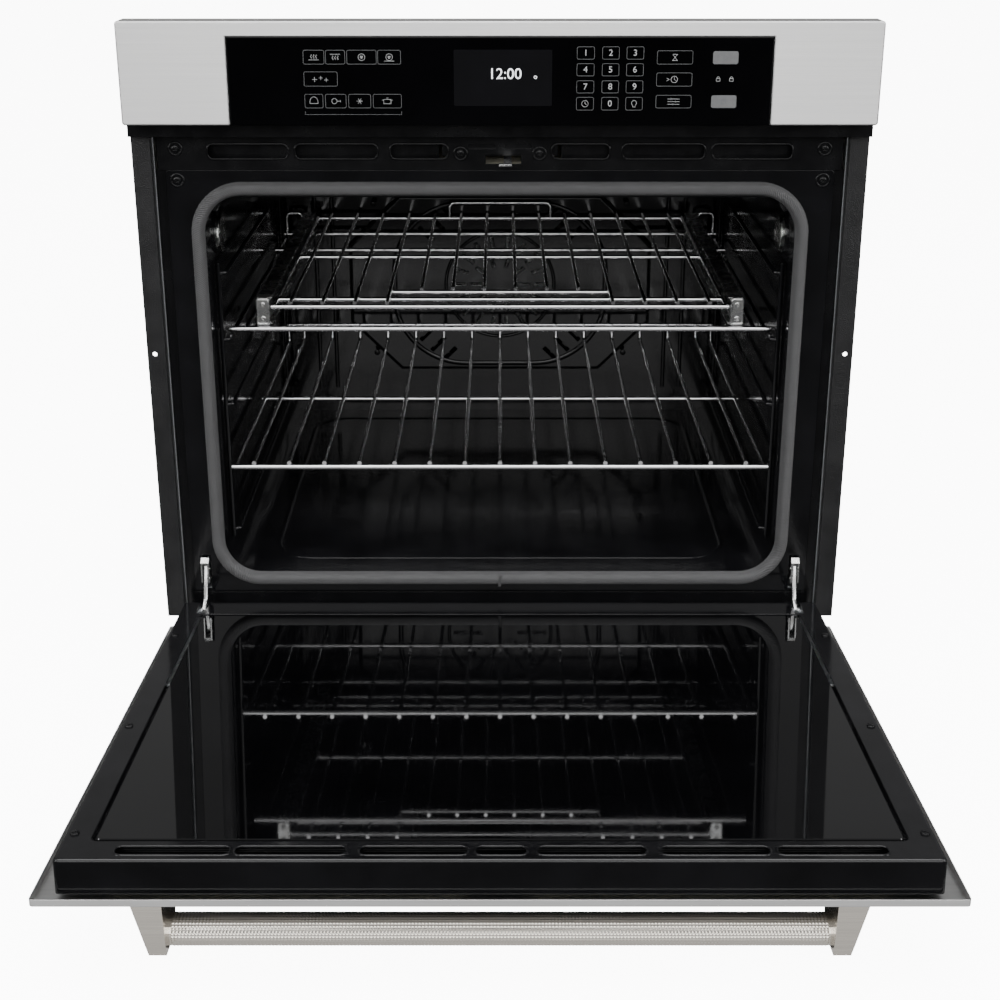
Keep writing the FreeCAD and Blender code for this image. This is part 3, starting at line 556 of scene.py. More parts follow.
def stroke(shape, points, width, y_front, y_back, closed=False):
    """A flat line of ink along X-Z points, with mitred corners and a little thickness in Y."""
    points = [Vector(p) for p in points]
    rows = []
    last = len(points) - 1
    for k, point in enumerate(points):
        before = points[k - 1] if k > 0 or closed else point
        after = points[(k + 1) % len(points)] if k < last or closed else point
        into = (point - before).normalized() if (point - before).length > 1e-6 else None
        away = (after - point).normalized() if (after - point).length > 1e-6 else None
        into, away = into or away, away or into
        way = (into + away).normalized()
        side = Vector((-way.y, way.x))
        reach = width / 2 / max(0.35, side.dot(Vector((-into.y, into.x))))
        left, right = point - side * reach, point + side * reach
        rows.append([
            shape.verts.new((p.x, y, p.y))
            for p, y in ((left, y_front), (right, y_front), (right, y_back), (left, y_back))
        ])
    skin(shape, rows + rows[:1] if closed else rows)
    if not closed:
        cap(shape, rows)


def plate(shape, outline, y_front, y_back):
    """A flat plate with an X-Z outline."""
    rings = [[shape.verts.new((x, y, z)) for x, z in outline] for y in (y_front, y_back)]
    skin(shape, rings)
    cap(shape, rings)


def sweep(shape, path, section, closed=True, layer=None):
    """Sweeps a section of (outward, along Y) points round an X-Z path."""
    path = [Vector(p) for p in path]
    rings = []
    count = len(path)
    for k, point in enumerate(path):
        before = path[k - 1] if k > 0 or closed else point
        after = path[(k + 1) % count] if k < count - 1 or closed else point
        way = (after - before).normalized()
        side = Vector((way.y, -way.x))
        rings.append([
            shape.verts.new((point.x + side.x * u, v, point.y + side.y * u)) for u, v in section
        ])
    for k in range(count if closed else count - 1):
        a, b = rings[k], rings[(k + 1) % count]
        for i in range(len(section)):
            j = (i + 1) % len(section)
            face = shape.faces.new((a[i], a[j], b[j], b[i]))
            if layer:
                spots = ((k, i), (k, i + 1), (k + 1, i + 1), (k + 1, i))
                for corner, (u, v) in zip(face.loops, spots):
                    corner[layer].uv = (u, v)
    return rings


def opened_door(shape):
    """Swings a bmesh drawn on the closed door to the open rest position, about the hinge."""
    hinge = next(j for j in frame["joints"] if j["name"] == "door_hinge")
    centre = Vector(hinge["pos_m"]) / MM
    angle = math.radians(hinge["range_deg"][1])
    turn = Matrix.Rotation(-angle, 4, Vector(hinge["axis"]))
    bmesh.ops.transform(
        shape, matrix=Matrix.Translation(centre) @ turn @ Matrix.Translation(-centre), verts=shape.verts
    )


def softened_copy(name, source, body, slot, width):
    """A copy of a node with its hard edges rounded, which stands for that node."""
    shape = bmesh.new()
    shape.from_mesh(NODES[source].data)
    bmesh.ops.remove_doubles(shape, verts=shape.verts, dist=0.02 * MM)
    bmesh.ops.dissolve_limit(
        shape, angle_limit=math.radians(1.0), verts=shape.verts, edges=shape.edges, delimit={"NORMAL"}
    )
    mesh = bpy.data.meshes.new(name)
    shape.to_mesh(mesh)
    shape.free()
    made = piece(name, mesh, body, slot, smooth=40)
    round_edges(made, width, 32).harden_normals = True
    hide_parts(source)


def profile_at(section, level, facing=1.0):
    """A section moved to a level along Y. facing is -1 where the sheet faces +Y."""
    return [(u, level + v * facing) for u, v in section]


def folded_sheet(shape, profile, x0, x1, thick):
    """Sheet metal bent along X: a (Y, Z) polyline given a thickness."""
    points = [Vector(p) for p in profile]
    sides = []
    for k, point in enumerate(points):
        into = (point - points[k - 1]).normalized() if k else (points[1] - point).normalized()
        away = (points[k + 1] - point).normalized() if k < len(points) - 1 else into
        way = (into + away).normalized()
        across = Vector((-way.y, way.x))
        sides.append(across * thick / 2 / max(0.4, across.dot(Vector((-into.y, into.x)))))
    rows = [
        [shape.verts.new((x, q.x, q.y)) for x, q in ((x0, p - a), (x0, p + a), (x1, p + a), (x1, p - a))]
        for p, a in zip(points, sides)
    ]
    skin(shape, rows)
    cap(shape, rows)


def turned(shape, axis, degrees, place):
    """Turns a bmesh about an axis through the origin, then moves it."""
    matrix = Matrix.Translation(place) @ Matrix.Rotation(math.radians(degrees), 4, axis)
    bmesh.ops.transform(shape, matrix=matrix, verts=shape.verts)


def prism(shape, outline, x0, x1):
    """A (Y, Z) outline given a thickness along X."""
    rings = [[shape.verts.new((x, y, z)) for y, z in outline] for x in (x0, x1)]
    skin(shape, rings)
    cap(shape, rings)


def cross_head_screw(shape, place, way, radius, height):
    """A domed screw head with a cross recess. way points out of the sheet."""
    way = Vector(way)
    side = way.orthogonal().normalized()
    up = way.cross(side)
    steps = 48
    turns = [2 * math.pi * (k + 0.5) / steps for k in range(steps)]
    arm, half = 0.6 * radius, 0.16 * radius

    def ring(distance, lift):
        middle = Vector(place) + way * lift
        return [
            shape.verts.new(middle + (side * math.cos(t) + up * math.sin(t)) * distance(t)) for t in turns
        ]

    def cross(t):
        narrow, long = sorted((abs(math.cos(t)), abs(math.sin(t))))
        return min(arm / long, half / narrow)

    rings = [
        ring(lambda t: radius, -0.2),
        ring(lambda t: radius, height * 0.35),
        ring(lambda t: radius * 0.9, height * 0.72),
        ring(lambda t: radius * 0.7, height * 0.92),
        ring(cross, height),
        ring(lambda t: cross(t) * 0.8, height * 0.35),
    ]
    skin(shape, rings)
    cap(shape, rings)


# ---------------------------------------------------------------- touch panel

GLASS_FRONT = span("control_glass")[0].y
PANEL_TOP = span("fascia")[1].z
INK_FRONT = GLASS_FRONT - 0.1
INK_BACK = GLASS_FRONT + 0.05
LINE = 0.42
KEY_CORNER = 1.6


def down(depth):
    """Height of a line that lies so far below the top of the panel."""
    return PANEL_TOP - depth


def key_outline(shape, x0, x1, top, bottom):
    outline = rounded_outline(x0, x1, down(bottom), down(top), KEY_CORNER, 4)
    stroke(shape, outline, LINE, INK_FRONT, INK_BACK, True)


NUMBER_COLUMNS = ((76, 93), (101, 117.5), (125, 141.6))
NUMBER_ROWS = ((24.7, 36.7), (41, 53), (57.7, 69.7), (74, 86.6))
SIDE_KEYS = ((155, 190, 28.5, 41.5), (155, 190, 50, 63), (155, 190, 72, 84.5))
COOKING_KEYS = (
    (-194, -173.5, 28, 41.5), (-172, -153, 28, 41.5), (-151, -122, 28, 41.5), (-120.5, -98, 28, 41.5),
    (-194, -161, 49, 63),
    (-194, -176, 71, 84.5), (-173.5, -153, 71, 84.5), (-150.5, -128.5, 71, 84.5), (-126, -98, 71, 84.5),
)
FILLED_KEYS = ((210, 235, 29, 41.5), (210, 235, 72, 84.5))


def heat_waves(z):
    """Three wavy lines of rising heat."""
    return [
        [(x + 0.6 * math.sin(math.pi * k / 3), z - 2 + 4 * k / 9) for k in range(10)]
        for x in (-2.5, 0, 2.5)
    ]


def sparkle(x, z, size):
    return [[(x - size, z), (x + size, z)], [(x, z - size), (x, z + size)]]


def blade(start):
    return [(0, 0)] + arc_points(0, 0, 1.4, start, start + 60, 2) + [(0, 0)]


def slider(spot, level):
    return [[(-6, level), (6, level)], [(spot, level - 0.9), (spot, level + 0.9)]]


def spoke(turn):
    x, z = 3 * math.cos(turn), 3 * math.sin(turn)
    return [(-x, -z), (x, z)]


# Each picture is a list of lines about its own middle.
BAKE = [[(-5, -2.6), (5, -2.6)]] + heat_waves(0.6)
BROIL = [[(-5, 2.8), (5, 2.8)]] + heat_waves(-0.6)
FAN = [arc_points(0, 0, 3.3, 0, 360, 17), blade(0), blade(120), blade(240)]
FAN_ROAST = FAN + [[(-5, -3.8), (5, -3.8)]]
CLEAN = sparkle(-6, -0.5, 2.4) + sparkle(0, 1, 1.8) + sparkle(5.5, -1, 2.0)
LOAF = [
    [(-4, -2.4), (-4, 0.5)] + arc_points(0, 0.6, 3.6, 170, 10, 9) + [(4, 0.5), (4, -2.4), (-4, -2.4)],
]
JOINT = [arc_points(-1.4, 0, 2.6, 0, 360, 15), [(1.2, 0), (4.6, 0)], [(4.6, -1), (4.6, 1)]]
FLAKE = [spoke(0.0), spoke(math.pi / 3), spoke(2 * math.pi / 3)]
POT = [
    [(-3.6, 1.6), (-3.6, -2.6), (3.6, -2.6), (3.6, 1.6), (-3.6, 1.6)],
    [(-5.4, 1), (-3.6, 1)], [(3.6, 1), (5.4, 1)], [(-1, 3), (1, 3)],
]
TIMER = [arc_points(0, 0, 3.2, 0, 360, 17), [(0, 2.2), (0, 0), (1.6, -0.9)]]
CLOCK = TIMER + [[(-7.5, 1.4), (-5, 0), (-7.5, -1.4)]]
LAMP = [arc_points(0, 0.7, 2.5, -60, 240, 13), [(-1.2, -1.6), (-1.2, -3.2), (1.2, -3.2), (1.2, -1.6)]]
HOURGLASS = [[(-2.4, 3), (2.4, 3), (-2.4, -3), (2.4, -3), (-2.4, 3)]]
SLIDERS = slider(-2.5, 2.6) + slider(2.0, 0.0) + slider(-0.5, -2.6)
PADLOCK = [
    [(-1.8, -2.2), (1.8, -2.2), (1.8, 0.4), (-1.8, 0.4), (-1.8, -2.2)],
    [(-1.2, 0.4)] + arc_points(0, 1.0, 1.2, 180, 0, 7) + [(1.2, 0.4)],
]
PLAY = [[(-2, -2.4), (-2, 2.4), (2.6, 0), (-2, -2.4)]]
STOP = [[(-2, -2), (2, -2), (2, 2), (-2, 2), (-2, -2)]]
COOKING_PICTURES = (BAKE, BROIL, FAN, FAN_ROAST, CLEAN, LOAF, JOINT, FLAKE, POT)
SIDE_PICTURES = (HOURGLASS, CLOCK, SLIDERS)


def drawn_at(lines, x, z):
    return [[(x + dx, z + dz) for dx, dz in line] for line in lines]


def centre_of(key):
    return (key[0] + key[1]) / 2, down((key[2] + key[3]) / 2)


def print_keys():
    """Thin rounded outlines and generic pictures for the touch keys."""
    outlines = bmesh.new()
    pictures = bmesh.new()
    drawn = []
    for key, picture in zip(COOKING_KEYS + SIDE_KEYS, COOKING_PICTURES + SIDE_PICTURES):
        key_outline(outlines, *key)
        drawn += drawn_at(picture, *centre_of(key))
    for x0, x1 in NUMBER_COLUMNS:
        for top, bottom in NUMBER_ROWS:
            key_outline(outlines, x0, x1, top, bottom)
    drawn += drawn_at(TIMER, *centre_of(NUMBER_COLUMNS[0] + NUMBER_ROWS[3]))
    drawn += drawn_at(LAMP, *centre_of(NUMBER_COLUMNS[2] + NUMBER_ROWS[3]))
    drawn += drawn_at(PADLOCK, 216, down(56)) + drawn_at(PADLOCK, 229, down(56))
    group_line = [(-194, down(88)), (-194, down(91)), (-98, down(91)), (-98, down(88))]
    stroke(outlines, group_line, LINE * 0.8, INK_FRONT, INK_BACK)
    for line in drawn:
        stroke(pictures, line, LINE * 0.85, INK_FRONT, INK_BACK)
    drawn_piece("key_outlines", outlines, "oven_body", "black_glass", KEY_INK)
    drawn_piece("key_icons", pictures, "oven_body", "black_glass", DIGIT_INK)
    pads = bmesh.new()
    marks = bmesh.new()
    for key, picture in zip(FILLED_KEYS, (PLAY, STOP)):
        x0, x1, top, bottom = key
        plate(pads, rounded_outline(x0, x1, down(bottom), down(top), 2.0, 6), INK_FRONT, INK_BACK)
        for line in drawn_at(picture, *centre_of(key)):
            stroke(marks, line, LINE * 1.1, INK_FRONT - 0.08, INK_FRONT + 0.02)
    drawn_piece("start_stop_pads", pads, "oven_body", "black_glass", PAD_INK)
    drawn_piece("start_stop_marks", marks, "oven_body", "black_glass", KEY_INK)


def numerals(text, height, x, z, y_front):
    """A mesh of figures, centred on (x, z), facing the user."""
    curve = bpy.data.curves.new("figures", "FONT")
    curve.body = text
    curve.size = height
    curve.align_x = "CENTER"
    curve.align_y = "CENTER"
    curve.extrude = 0.05
    curve.resolution_u = 6
    holder = bpy.data.objects.new("figures", curve)
    bpy.context.scene.collection.objects.link(holder)
    mesh = bpy.data.meshes.new_from_object(holder.evaluated_get(bpy.context.evaluated_depsgraph_get()))
    bpy.data.objects.remove(holder)
    bpy.data.curves.remove(curve)
    mesh.transform(Matrix.Translation((x, y_front + 0.05, z)) @ Matrix.Rotation(math.pi / 2, 4, "X"))
    return mesh


def print_numbers():
    """The number keys' figures, and the clock."""
    shape = bmesh.new()
    for k in range(10):
        column, row = ((k - 1) % 3, (k - 1) // 3) if k else (1, 3)
        x0, x1 = NUMBER_COLUMNS[column]
        top, bottom = NUMBER_ROWS[row]
        shape.from_mesh(numerals(str(k), 8.6, (x0 + x1) / 2, down((top + bottom) / 2), INK_FRONT))
    drawn_piece("key_numbers", shape, "oven_body", "black_glass", DIGIT_INK)
    film = bmesh.new()
    plate(film, rounded_outline(-45.7, 51.5, down(82.5), down(27.5), 1.2, 5), INK_FRONT + 0.04, INK_BACK)
    drawn_piece("display_film", film, "oven_body", "black_glass", DISPLAY_FILM)
    clock = bmesh.new()
    clock.from_mesh(numerals("12:00", 15.0, 5.0, down(51.4), INK_FRONT - 0.06))
    stroke(clock, circle(35, down(54.4), 1.3, 24), 0.5, INK_FRONT - 0.06, INK_FRONT + 0.03, True)
    drawn_piece("clock_digits", clock, "oven_body", "black_glass", LIT_DIGITS)


# ---------------------------------------------------------------- door handle


def knurled_bar():
    """The grip: a round bar covered in small raised diamonds, with plain ends."""
    low, high = span("handle_bar")
    radius = (high.z - low.z) / 2
    centre = (low + high) / 2
    plain = 3.0  # smooth length at each end
    around = 34
    pitch = 2.9
    rows = round((high.x - low.x - 2 * plain) / pitch)
    step = (high.x - low.x - 2 * plain) / rows
    depth = 0.42
    shape = bmesh.new()

    def spot(x, turn, r):
        angle = 2 * math.pi * turn / around
        return shape.verts.new((x, centre.y + r * math.cos(angle), centre.z + r * math.sin(angle)))

    start = low.x + plain
    valleys = [
        [spot(start + step * i, j, radius - depth) for j in range(around)] for i in range(rows + 1)
    ]
    peaks = [
        [spot(start + step * (i + 0.5), j + 0.5, radius) for j in range(around)] for i in range(rows)
    ]
    for i in range(rows):
        for j in range(around):
            k = (j + 1) % around
            tip = peaks[i][j]
            near = (valleys[i][j], valleys[i][k])
            far = (valleys[i + 1][j], valleys[i + 1][k])
            shape.faces.new((tip, near[0], near[1]))
            shape.faces.new((tip, far[1], far[0]))
            shape.faces.new((tip, near[1], far[1]))
            shape.faces.new((tip, far[0], near[0]))
    for ring, x in ((valleys[0], low.x), (valleys[-1], high.x)):
        rim = [spot(x, j, radius - depth) for j in range(around)]
        skin(shape, (ring, rim))
        shape.faces.new(rim)
    made = drawn_piece("knurled_handle_bar", shape, "door", "handle")
    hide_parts("handle_bar")


# ---------------------------------------------------------------- pressed sheet details

ROLLED_RIM = ((0.0, 0.5), (0.0, -0.3), (0.45, -0.75), (1.3, -0.65), (2.3, 0.0), (2.3, 0.5))
BEAD = ((-4.0, 0.3), (-3.0, -0.5), (-1.4, -1.3), (0.0, -1.6), (1.4, -1.3), (3.0, -0.5), (4.0, 0.3))
FRAME_FACE = span("front_frame")[0].y
DOOR_BACK = FRAME_FACE - 12.0  # the closed door's inner face
DOOR_SLOTS = ((-311, -219), (-214, -125), (-113, -27), (-19, 21), (31, 118), (131, 218), (225, 314))
DOOR_SLOT_LOW, DOOR_SLOT_HIGH = 540, 552
VENT_SLOTS = ((55, 113), (128, 212), (221, 303))
VENT_SLOT_LOW, VENT_SLOT_HIGH = 546, 560
SLOT_CORNER = 5.0
FRAME_SCREWS = ((337, 523), (337, 556), (41, 551))
FAN_MIDDLE = 267.0
CAVITY_FLOOR = 72.0
HINGE_X = 335.0


def rolled_rims():
    """Soft rims round the cooling slots of the vent panel and of the door's edge."""
    vent = bmesh.new()
    for side in (-1, 1):
        for low, high in VENT_SLOTS:
            x0, x1 = sorted((side * low, side * high))
            slot = rounded_outline(x0, x1, VENT_SLOT_LOW, VENT_SLOT_HIGH, SLOT_CORNER)
            sweep(vent, slot, profile_at(ROLLED_RIM, FRAME_FACE))
        for x, z in FRAME_SCREWS:
            sweep(vent, circle(side * x, z, 5.6, 24), profile_at(ROLLED_RIM, FRAME_FACE))
    drawn_piece("vent_slot_rims", vent, "oven_body", "black_trim", smooth=60)
    door = bmesh.new()
    for x0, x1 in DOOR_SLOTS:
        slot = rounded_outline(x0, x1, DOOR_SLOT_LOW, DOOR_SLOT_HIGH, SLOT_CORNER)
        sweep(door, slot, profile_at(ROLLED_RIM, DOOR_BACK, -1.0))
    opened_door(door)
    drawn_piece("door_slot_rims", door, "door", "black_enamel", smooth=60)


def air_baffles():
    """Black sheet behind the slots and beside the frame, so that no insulation shows."""
    duct = bmesh.new()
    face = FRAME_FACE
    profile = [
        (face + 2.2, 538.4), (face + 11, 538.4), (face + 13, 541), (face + 13, 570), (face + 2.6, 572.6),
    ]
    for x0, x1 in ((-352, -64), (64, 352)):
        folded_sheet(duct, profile, x0, x1, 0.8)
    for x0, x1 in ((-359.4, -346), (346, 359.4)):
        folded_sheet(duct, [(face + 3.0, 26), (face + 3.0, 534)], x0, x1, 0.7)
    drawn_piece("vent_air_duct", duct, "oven_body", "black_trim")
    door = bmesh.new()
    back = DOOR_BACK
    for x0, x1, deep in ((-352, -26, 9.5), (-25.5, 25.5, 30), (26, 352, 9.5)):
        profile = [(back - 1.8, 530), (back - deep, 533), (back - deep, 557.5), (back - 1.8, 558)]
        folded_sheet(door, profile, x0, x1, 0.8)
    opened_door(door)
    drawn_piece("door_air_duct", door, "door", "black_trim")


def glide_cap_details():
    """The raised lip and the rivet on the front cap of each glide."""
    low, high = span("glides_inner")
    shape = bmesh.new()
    for side in (-1, 1):
        inner, outer = sorted((side * 258.0, side * 272.5))
        z0, z1 = high.z - 30.4, high.z - 0.6
        lip = ((-1.6, 0.4), (-1.6, -0.9), (-1.0, -1.4), (-0.3, -0.9), (0.0, 0.4))
        sweep(shape, rounded_outline(inner, outer, z0, z1, 3.0), profile_at(lip, low.y))
        for z in ((z0 + z1) / 2 - 8, (z0 + z1) / 2 + 8):
            cross_head_screw(shape, ((inner + outer) / 2, low.y, z), (0, -1, 0), 3.0, 1.1)
    drawn_piece("glide_cap_lips", shape, "upper_rack", "zinc_steel", smooth=40)


def fan_cover_details():
    """Pressed beads and tilted louvre vanes on the convection fan's cover."""
    face = span("fan_cover")[0].y
    beads = bmesh.new()
    oval = rounded_outline(-150, 150, FAN_MIDDLE - 118, FAN_MIDDLE + 118, 100, 20)
    sweep(beads, oval, profile_at(BEAD, face))
    ring_bead = [(u * 0.7, v * 1.2) for u, v in BEAD]
    sweep(beads, circle(0, FAN_MIDDLE, 77, 72), profile_at(ring_bead, face))
    drawn_piece("fan_cover_beads", beads, "oven_body", "black_enamel", smooth=50)
    vanes = bmesh.new()
    middle = Vector((0, face, FAN_MIDDLE))
    for ring, count, size in ((26, 10, 16), (48, 18, 22)):
        for k in range(count):
            turn = 2 * math.pi * k / count
            out = Vector((math.cos(turn), 0, -math.sin(turn)))
            across = Vector((math.sin(turn), 0, math.cos(turn)))
            rows = []
            for reach, bow in ((ring + 0.5, 0.0), (ring + size * 0.5, 0.8), (ring + size - 0.5, 0.0)):
                rim = [
                    (-2.9, 0.2), (-2.2, -1.4 - bow), (0.6, -3.4 - bow),
                    (1.0, -2.8 - bow), (-1.6, -0.6 - bow), (-2.1, 0.2),
                ]
                foot = middle + out * reach
                rows.append([vanes.verts.new(foot + across * u + Vector((0, v, 0))) for u, v in rim])
            skin(vanes, rows)
            cap(vanes, rows)
    drawn_piece("fan_louvre_vanes", vanes, "oven_body", "zinc_steel", smooth=40)


def cavity_beads():
    """Pressed stiffening beads on the cavity's rear wall and round its floor."""
    wall = span("fan_cover")[1].y
    upright = bmesh.new()
    slim_bead = [(u * 0.8, v) for u, v in BEAD]
    for x in (-262, -238, 238, 262):
        sweep(upright, [(x, 470), (x, 108)], profile_at(slim_bead, wall), closed=False)
    drawn_piece("cavity_wall_beads", upright, "oven_body", "black_enamel", smooth=50)
    floor = bmesh.new()
    sweep(floor, rounded_outline(-262, 262, -262, 205, 45, 12), BEAD)
    turned(floor, "X", -90, (0, 0, CAVITY_FLOOR))
    drawn_piece("cavity_floor_bead", floor, "oven_body", "black_enamel", smooth=50)


def case_beads():
    """Shallow pressed beads that stiffen the plain case panels."""
    left = (-90, span("side_panel_left")[0].x, ((8, 262), (-268, -22)))
    right = (90, span("side_panel_right")[1].x, ((-262, -8), (22, 268)))
    for name, (degrees, x, fields) in (("side_panel_left", left), ("side_panel_right", right)):
        shape = bmesh.new()
        for x0, x1 in fields:
            sweep(shape, rounded_outline(x0, x1, 62, 505, 34, 10), BEAD)
        turned(shape, "Z", degrees, (x, 0, 0))
        name += "_beads"
        drawn_piece(name, shape, "oven_body", "galvanised", smooth=50)
    rear = bmesh.new()
    sweep(rear, rounded_outline(-322, 322, 44, 480, 40, 10), BEAD)
    sweep(rear, circle(0, FAN_MIDDLE, 150, 72), BEAD)
    sweep(rear, circle(0, FAN_MIDDLE, 60, 36), BEAD)
    turned(rear, "Z", 180, (0, span("rear_panel")[1].y, 0))
    drawn_piece("rear_panel_beads", rear, "oven_body", "galvanised", smooth=50)
    top = bmesh.new()
    for x0, x1 in ((-315, -15), (15, 315)):
        sweep(top, rounded_outline(x0, x1, -225, 160, 34, 10), BEAD)
    turned(top, "X", -90, (0, 0, span("top_cover")[1].z))
    drawn_piece("top_cover_beads", top, "oven_body", "galvanised", smooth=50)


def hinge_locks():
    """The swing catch over each hinge arm, and the rivets that hold it."""
    catch = bmesh.new()
    face = FRAME_FACE
    cheek = [
        (face - 9.0, 62), (face - 3.5, 57), (face - 0.8, 60),
        (face - 0.8, 84), (face - 4, 91), (face - 8.6, 86),
    ]
    hook = [(face - 8.6, 86), (face - 4, 91), (face - 0.8, 84), (face - 3.2, 82), (face - 6.5, 82.5)]
    for side in (-1, 1):
        middle = side * HINGE_X
        for x0 in (-4.5, 3.1):
            prism(catch, cheek, middle + x0, middle + x0 + 1.4)
        prism(catch, hook, middle - 3.2, middle + 3.2)
        for y, z in ((face - 5.2, 66), (face - 5.0, 78)):
            for way in (-1, 1):
                cross_head_screw(catch, (middle + way * 4.4, y, z), (way, 0, 0), 1.9, 0.9)
    round_edges(drawn_piece("hinge_lock_catches", catch, "oven_body", "zinc_steel", smooth=35), 0.35, 60)
    softened_copy("softened_hinge_arms", "hinge_arms", "oven_body", "zinc_steel", 0.5)


def sheet_metal_screws():
    """Cross-head screws of the case and of the door's inner panel."""
    case = bmesh.new()
    top = span("top_cover")[1].z
    cover = span("fan_cover")[0].y
    for side in (-1, 1):
        for x, z in FRAME_SCREWS:
            cross_head_screw(case, (side * x, FRAME_FACE, z), (0, -1, 0), 4.0, 2.0)
        for y in (-230, 0, 260):
            cross_head_screw(case, (side * 350, y, top), (0, 0, 1), 4.0, 2.0)
        for z in (165, 384):
            cross_head_screw(case, (side * 178, cover, z), (0, -1, 0), 4.0, 2.0)
    heads = drawn_piece("cross_head_case_screws", case, "oven_body", "black_trim", smooth=35)
    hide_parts("case_screws")
    door = bmesh.new()
    for side in (-1, 1):
        for z in (120, 330, 520):
            cross_head_screw(door, (side * 351, DOOR_BACK, z), (0, 1, 0), 3.9, 1.9)
    opened_door(door)
    drawn_piece("cross_head_door_screws", door, "door", "black_trim", smooth=35)


# ---------------------------------------------------------------- cavity gasket


def braided_rope():
    """A soft rope of crossed strands that follows the mouth of the cavity."""
    low, high = span("cavity_gasket")
    width = 14.4
    middle = width / 2
    outline = rounded_outline(
        low.x + middle, high.x - middle, low.z + middle, high.z - middle, 48.0, 40
    )
    dense = []
    step = 1.6
    for k, point in enumerate(outline):
        a = Vector(point)
        b = Vector(outline[(k + 1) % len(outline)])
        parts = max(1, round((b - a).length / step))
        dense += [a.lerp(b, i / parts) for i in range(parts)]
    depth = high.y - low.y
    sides = 18
    shape = bmesh.new()
    layer = shape.loops.layers.uv.new("braid")
    rings = sweep(shape, dense, [(0.0, 0.0)] * sides, True, layer)
    count = len(rings)
    turns = round(count * step / 9)  # each strand goes round the rope once in about 9 mm
    for k, ring in enumerate(rings):
        here, before, after = dense[k], dense[k - 1], dense[(k + 1) % count]
        way = (after - before).normalized()
        outward = Vector((way.y, -way.x))
        for i, vert in enumerate(ring):
            angle = 2 * math.pi * i / sides
            lift = math.sin(3 * angle + 2 * math.pi * turns * k / count)
            lift *= math.sin(-3 * angle + 2 * math.pi * turns * k / count)
            swell = 0.955 + 0.045 * lift
            u = middle * swell * math.copysign(abs(math.cos(angle)) ** 0.8, math.cos(angle))
            v = -depth * swell * max(0.0, math.sin(angle)) ** 0.75
            vert.co = (here.x + outward.x * u, high.y + v, here.y + outward.y * u)
    made = drawn_piece("braided_cavity_gasket", shape, "oven_body", "gasket", smooth=80)
    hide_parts("cavity_gasket")
    joint = bmesh.new()
    z0 = low.z + 0.6
    section = [
        (0.0, high.y - 0.2), (0.0, low.y + 2.0), (0.5, low.y + 0.2), (1.8, low.y - 0.25),
        (3.1, low.y + 0.2), (3.6, low.y + 2.0), (3.6, high.y - 0.2),
    ]
    rows = [[joint.verts.new((x - 1.8 + lean, y, z0 + rise)) for x, y in section]
            for rise, lean in ((0.0, -0.5), (middle, 0.0), (width - 1.2, 0.6))]
    skin(joint, rows)
    cap(joint, rows)
    drawn_piece("gasket_joint_sleeve", joint, "oven_body", "gasket", smooth=50)


# ---------------------------------------------------------------- camera, light and floor


def softbox(name, place, target, wide, tall, power, pieces=None):
    """A soft rectangle of light that no camera sees. pieces limits it to a set of pieces."""
    light = bpy.data.lights.new(name, "AREA")
    light.shape = "RECTANGLE"
    light.size = wide
    light.size_y = tall
    light.energy = power
    holder = bpy.data.objects.new(name, light)
    bpy.context.scene.collection.objects.link(holder)
    holder.location = place
    holder.rotation_euler = (Vector(target) - Vector(place)).to_track_quat("-Z", "Y").to_euler()
    holder.visible_camera = False
    if pieces:
        holder.light_linking.receiver_collection = pieces


def lit_group(name, members):
    """A set of pieces that one softbox lights alone, so that the black pieces stay deep."""
    group = bpy.data.collections.new(name)
    for member in members:
        group.objects.link(bpy.data.objects[member])
    return group


def studio():
    """Soft boxes above and at the sides, and a pale room that the camera sees as nearly white."""
    softbox("overhead softbox", (0.0, -1.0, 2.6), (0.0, -0.3, 0.2), 2.4, 1.6, 75)
    softbox("left softbox", (-2.3, -1.7, 1.5), (0.0, -0.3, 0.3), 1.1, 1.8, 45)
    softbox("right softbox", (2.3, -1.7, 1.5), (0.0, -0.3, 0.3), 1.1, 1.8, 45)
    softbox("front softbox", (0.0, -4.2, 1.9), (0.0, -0.3, 0.4), 3.6, 1.8, 75)
    fronts = ("fascia", "door_skin", "knurled_handle_bar", "handle_end_brackets")
    steel = lit_group("front steel", fronts)
    softbox("steel softbox", (0.0, -2.6, 0.25), (0.0, -0.6, 0.1), 2.8, 0.9, 20, steel)
    under = (0.0, -1.5, CAD_BOX[0].z - 0.002)
    softbox("floor reflector", under, (0.0, -1.499, 1.0), 3.2, 1.4, 9, steel)
    parts = frame["record"]["subparts"]
    sheet = [part["node"] for part in parts if part["material_slot"] == "galvanised"]
    beaded = ("side_panel_left", "side_panel_right", "rear_panel", "top_cover")
    sheet += [name + "_beads" for name in beaded]
    case = lit_group("case sheet", sheet)
    softbox("rear softbox", (0.0, 3.2, 2.2), (0.0, 0.2, 0.3), 2.6, 1.4, 90, case)
    for side in (-1, 1):
        softbox("case softbox", (side * 3.0, 0.4, 1.3), (0.0, 0.1, 0.3), 2.2, 1.4, 40, case)
    world = bpy.data.worlds.new("pale studio")
    bpy.context.scene.world = world
    world.use_nodes = True
    tree = world.node_tree
    tree.nodes.clear()
    seen = node(tree, "LightPath").outputs["Is Camera Ray"]
    shown = node(tree, "Background", None, {"Color": (1.0, 1.0, 1.0, 1.0), "Strength": 13.0})
    lit = node(tree, "Background", None, {"Color": (1.0, 1.0, 1.0, 1.0), "Strength": 0.3})
    mixed = node(tree, "MixShader", None, {0: seen, 1: lit.outputs[0], 2: shown.outputs[0]})
    out = node(tree, "OutputWorld")
    tree.links.new(mixed.outputs[0], out.inputs["Surface"])


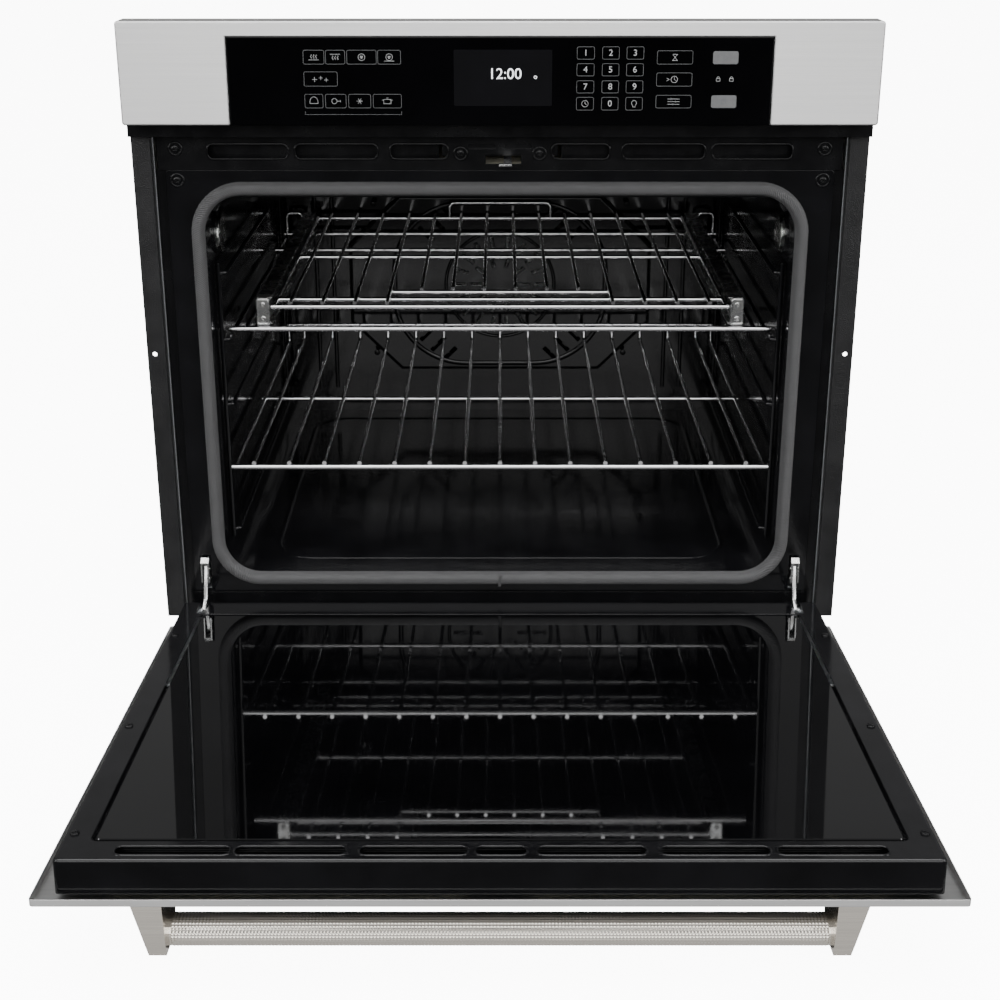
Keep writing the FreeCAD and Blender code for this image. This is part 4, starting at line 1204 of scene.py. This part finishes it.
def studio_floor():
    """A wide pale floor. It shows nearly white, and is dim where a shiny surface mirrors it."""
    far = 30.0
    level = CAD_BOX[0].z - 0.004
    corners = ((-far, -far), (far, -far), (far, far), (-far, far))
    shape = bmesh.new()
    shape.faces.new([shape.verts.new((x, y, level)) for x, y in corners])
    mesh = bpy.data.meshes.new("studio_floor")
    shape.to_mesh(mesh)
    shape.free()
    floor = bpy.data.objects.new("studio_floor", mesh)
    bpy.context.scene.collection.objects.link(floor)
    finish = bpy.data.materials.new("pale studio floor")
    finish.use_nodes = True
    tree = finish.node_tree
    lit = tree.nodes["Principled BSDF"]
    cloud = noise(tree, 1.5, 2.0)
    tone = blend_colours(tree, cloud, (0.9, 0.9, 0.9, 1.0), (0.93, 0.93, 0.93, 1.0))
    connect(tree, lit, Base_Color=tone, Emission_Color=tone)
    lit.inputs["Emission Strength"].default_value = 11.0
    lit.inputs["Roughness"].default_value = 0.9
    dim = node(tree, "BsdfDiffuse", None, {"Color": (0.06, 0.06, 0.06, 1.0)})
    seen = node(tree, "LightPath").outputs["Is Camera Ray"]
    mixed = node(tree, "MixShader", None, {0: seen, 1: dim.outputs[0], 2: lit.outputs[0]})
    tree.links.new(mixed.outputs[0], tree.nodes["Material Output"].inputs["Surface"])
    mesh.materials.append(finish)


def camera():
    """Looks down a little at the open door. The small shift puts the oven in the middle."""
    data = bpy.data.cameras.new("camera")
    data.lens = 54.81
    data.sensor_width = 36.0
    data.shift_y = -0.11
    holder = bpy.data.objects.new("camera", data)
    bpy.context.scene.collection.objects.link(holder)
    holder.location = (0.0, -1.874, 0.837)
    holder.rotation_euler = (math.radians(90 - 19.13), 0.0, 0.0)
    bpy.context.scene.camera = holder


finish_frame()
print_keys()
print_numbers()
knurled_bar()
softened_copy("handle_end_brackets", "handle_brackets", "door", "handle", 1.1)
braided_rope()
rolled_rims()
air_baffles()
fan_cover_details()
cavity_beads()
glide_cap_details()
sheet_metal_screws()
case_beads()
hinge_locks()
studio()
studio_floor()
camera()
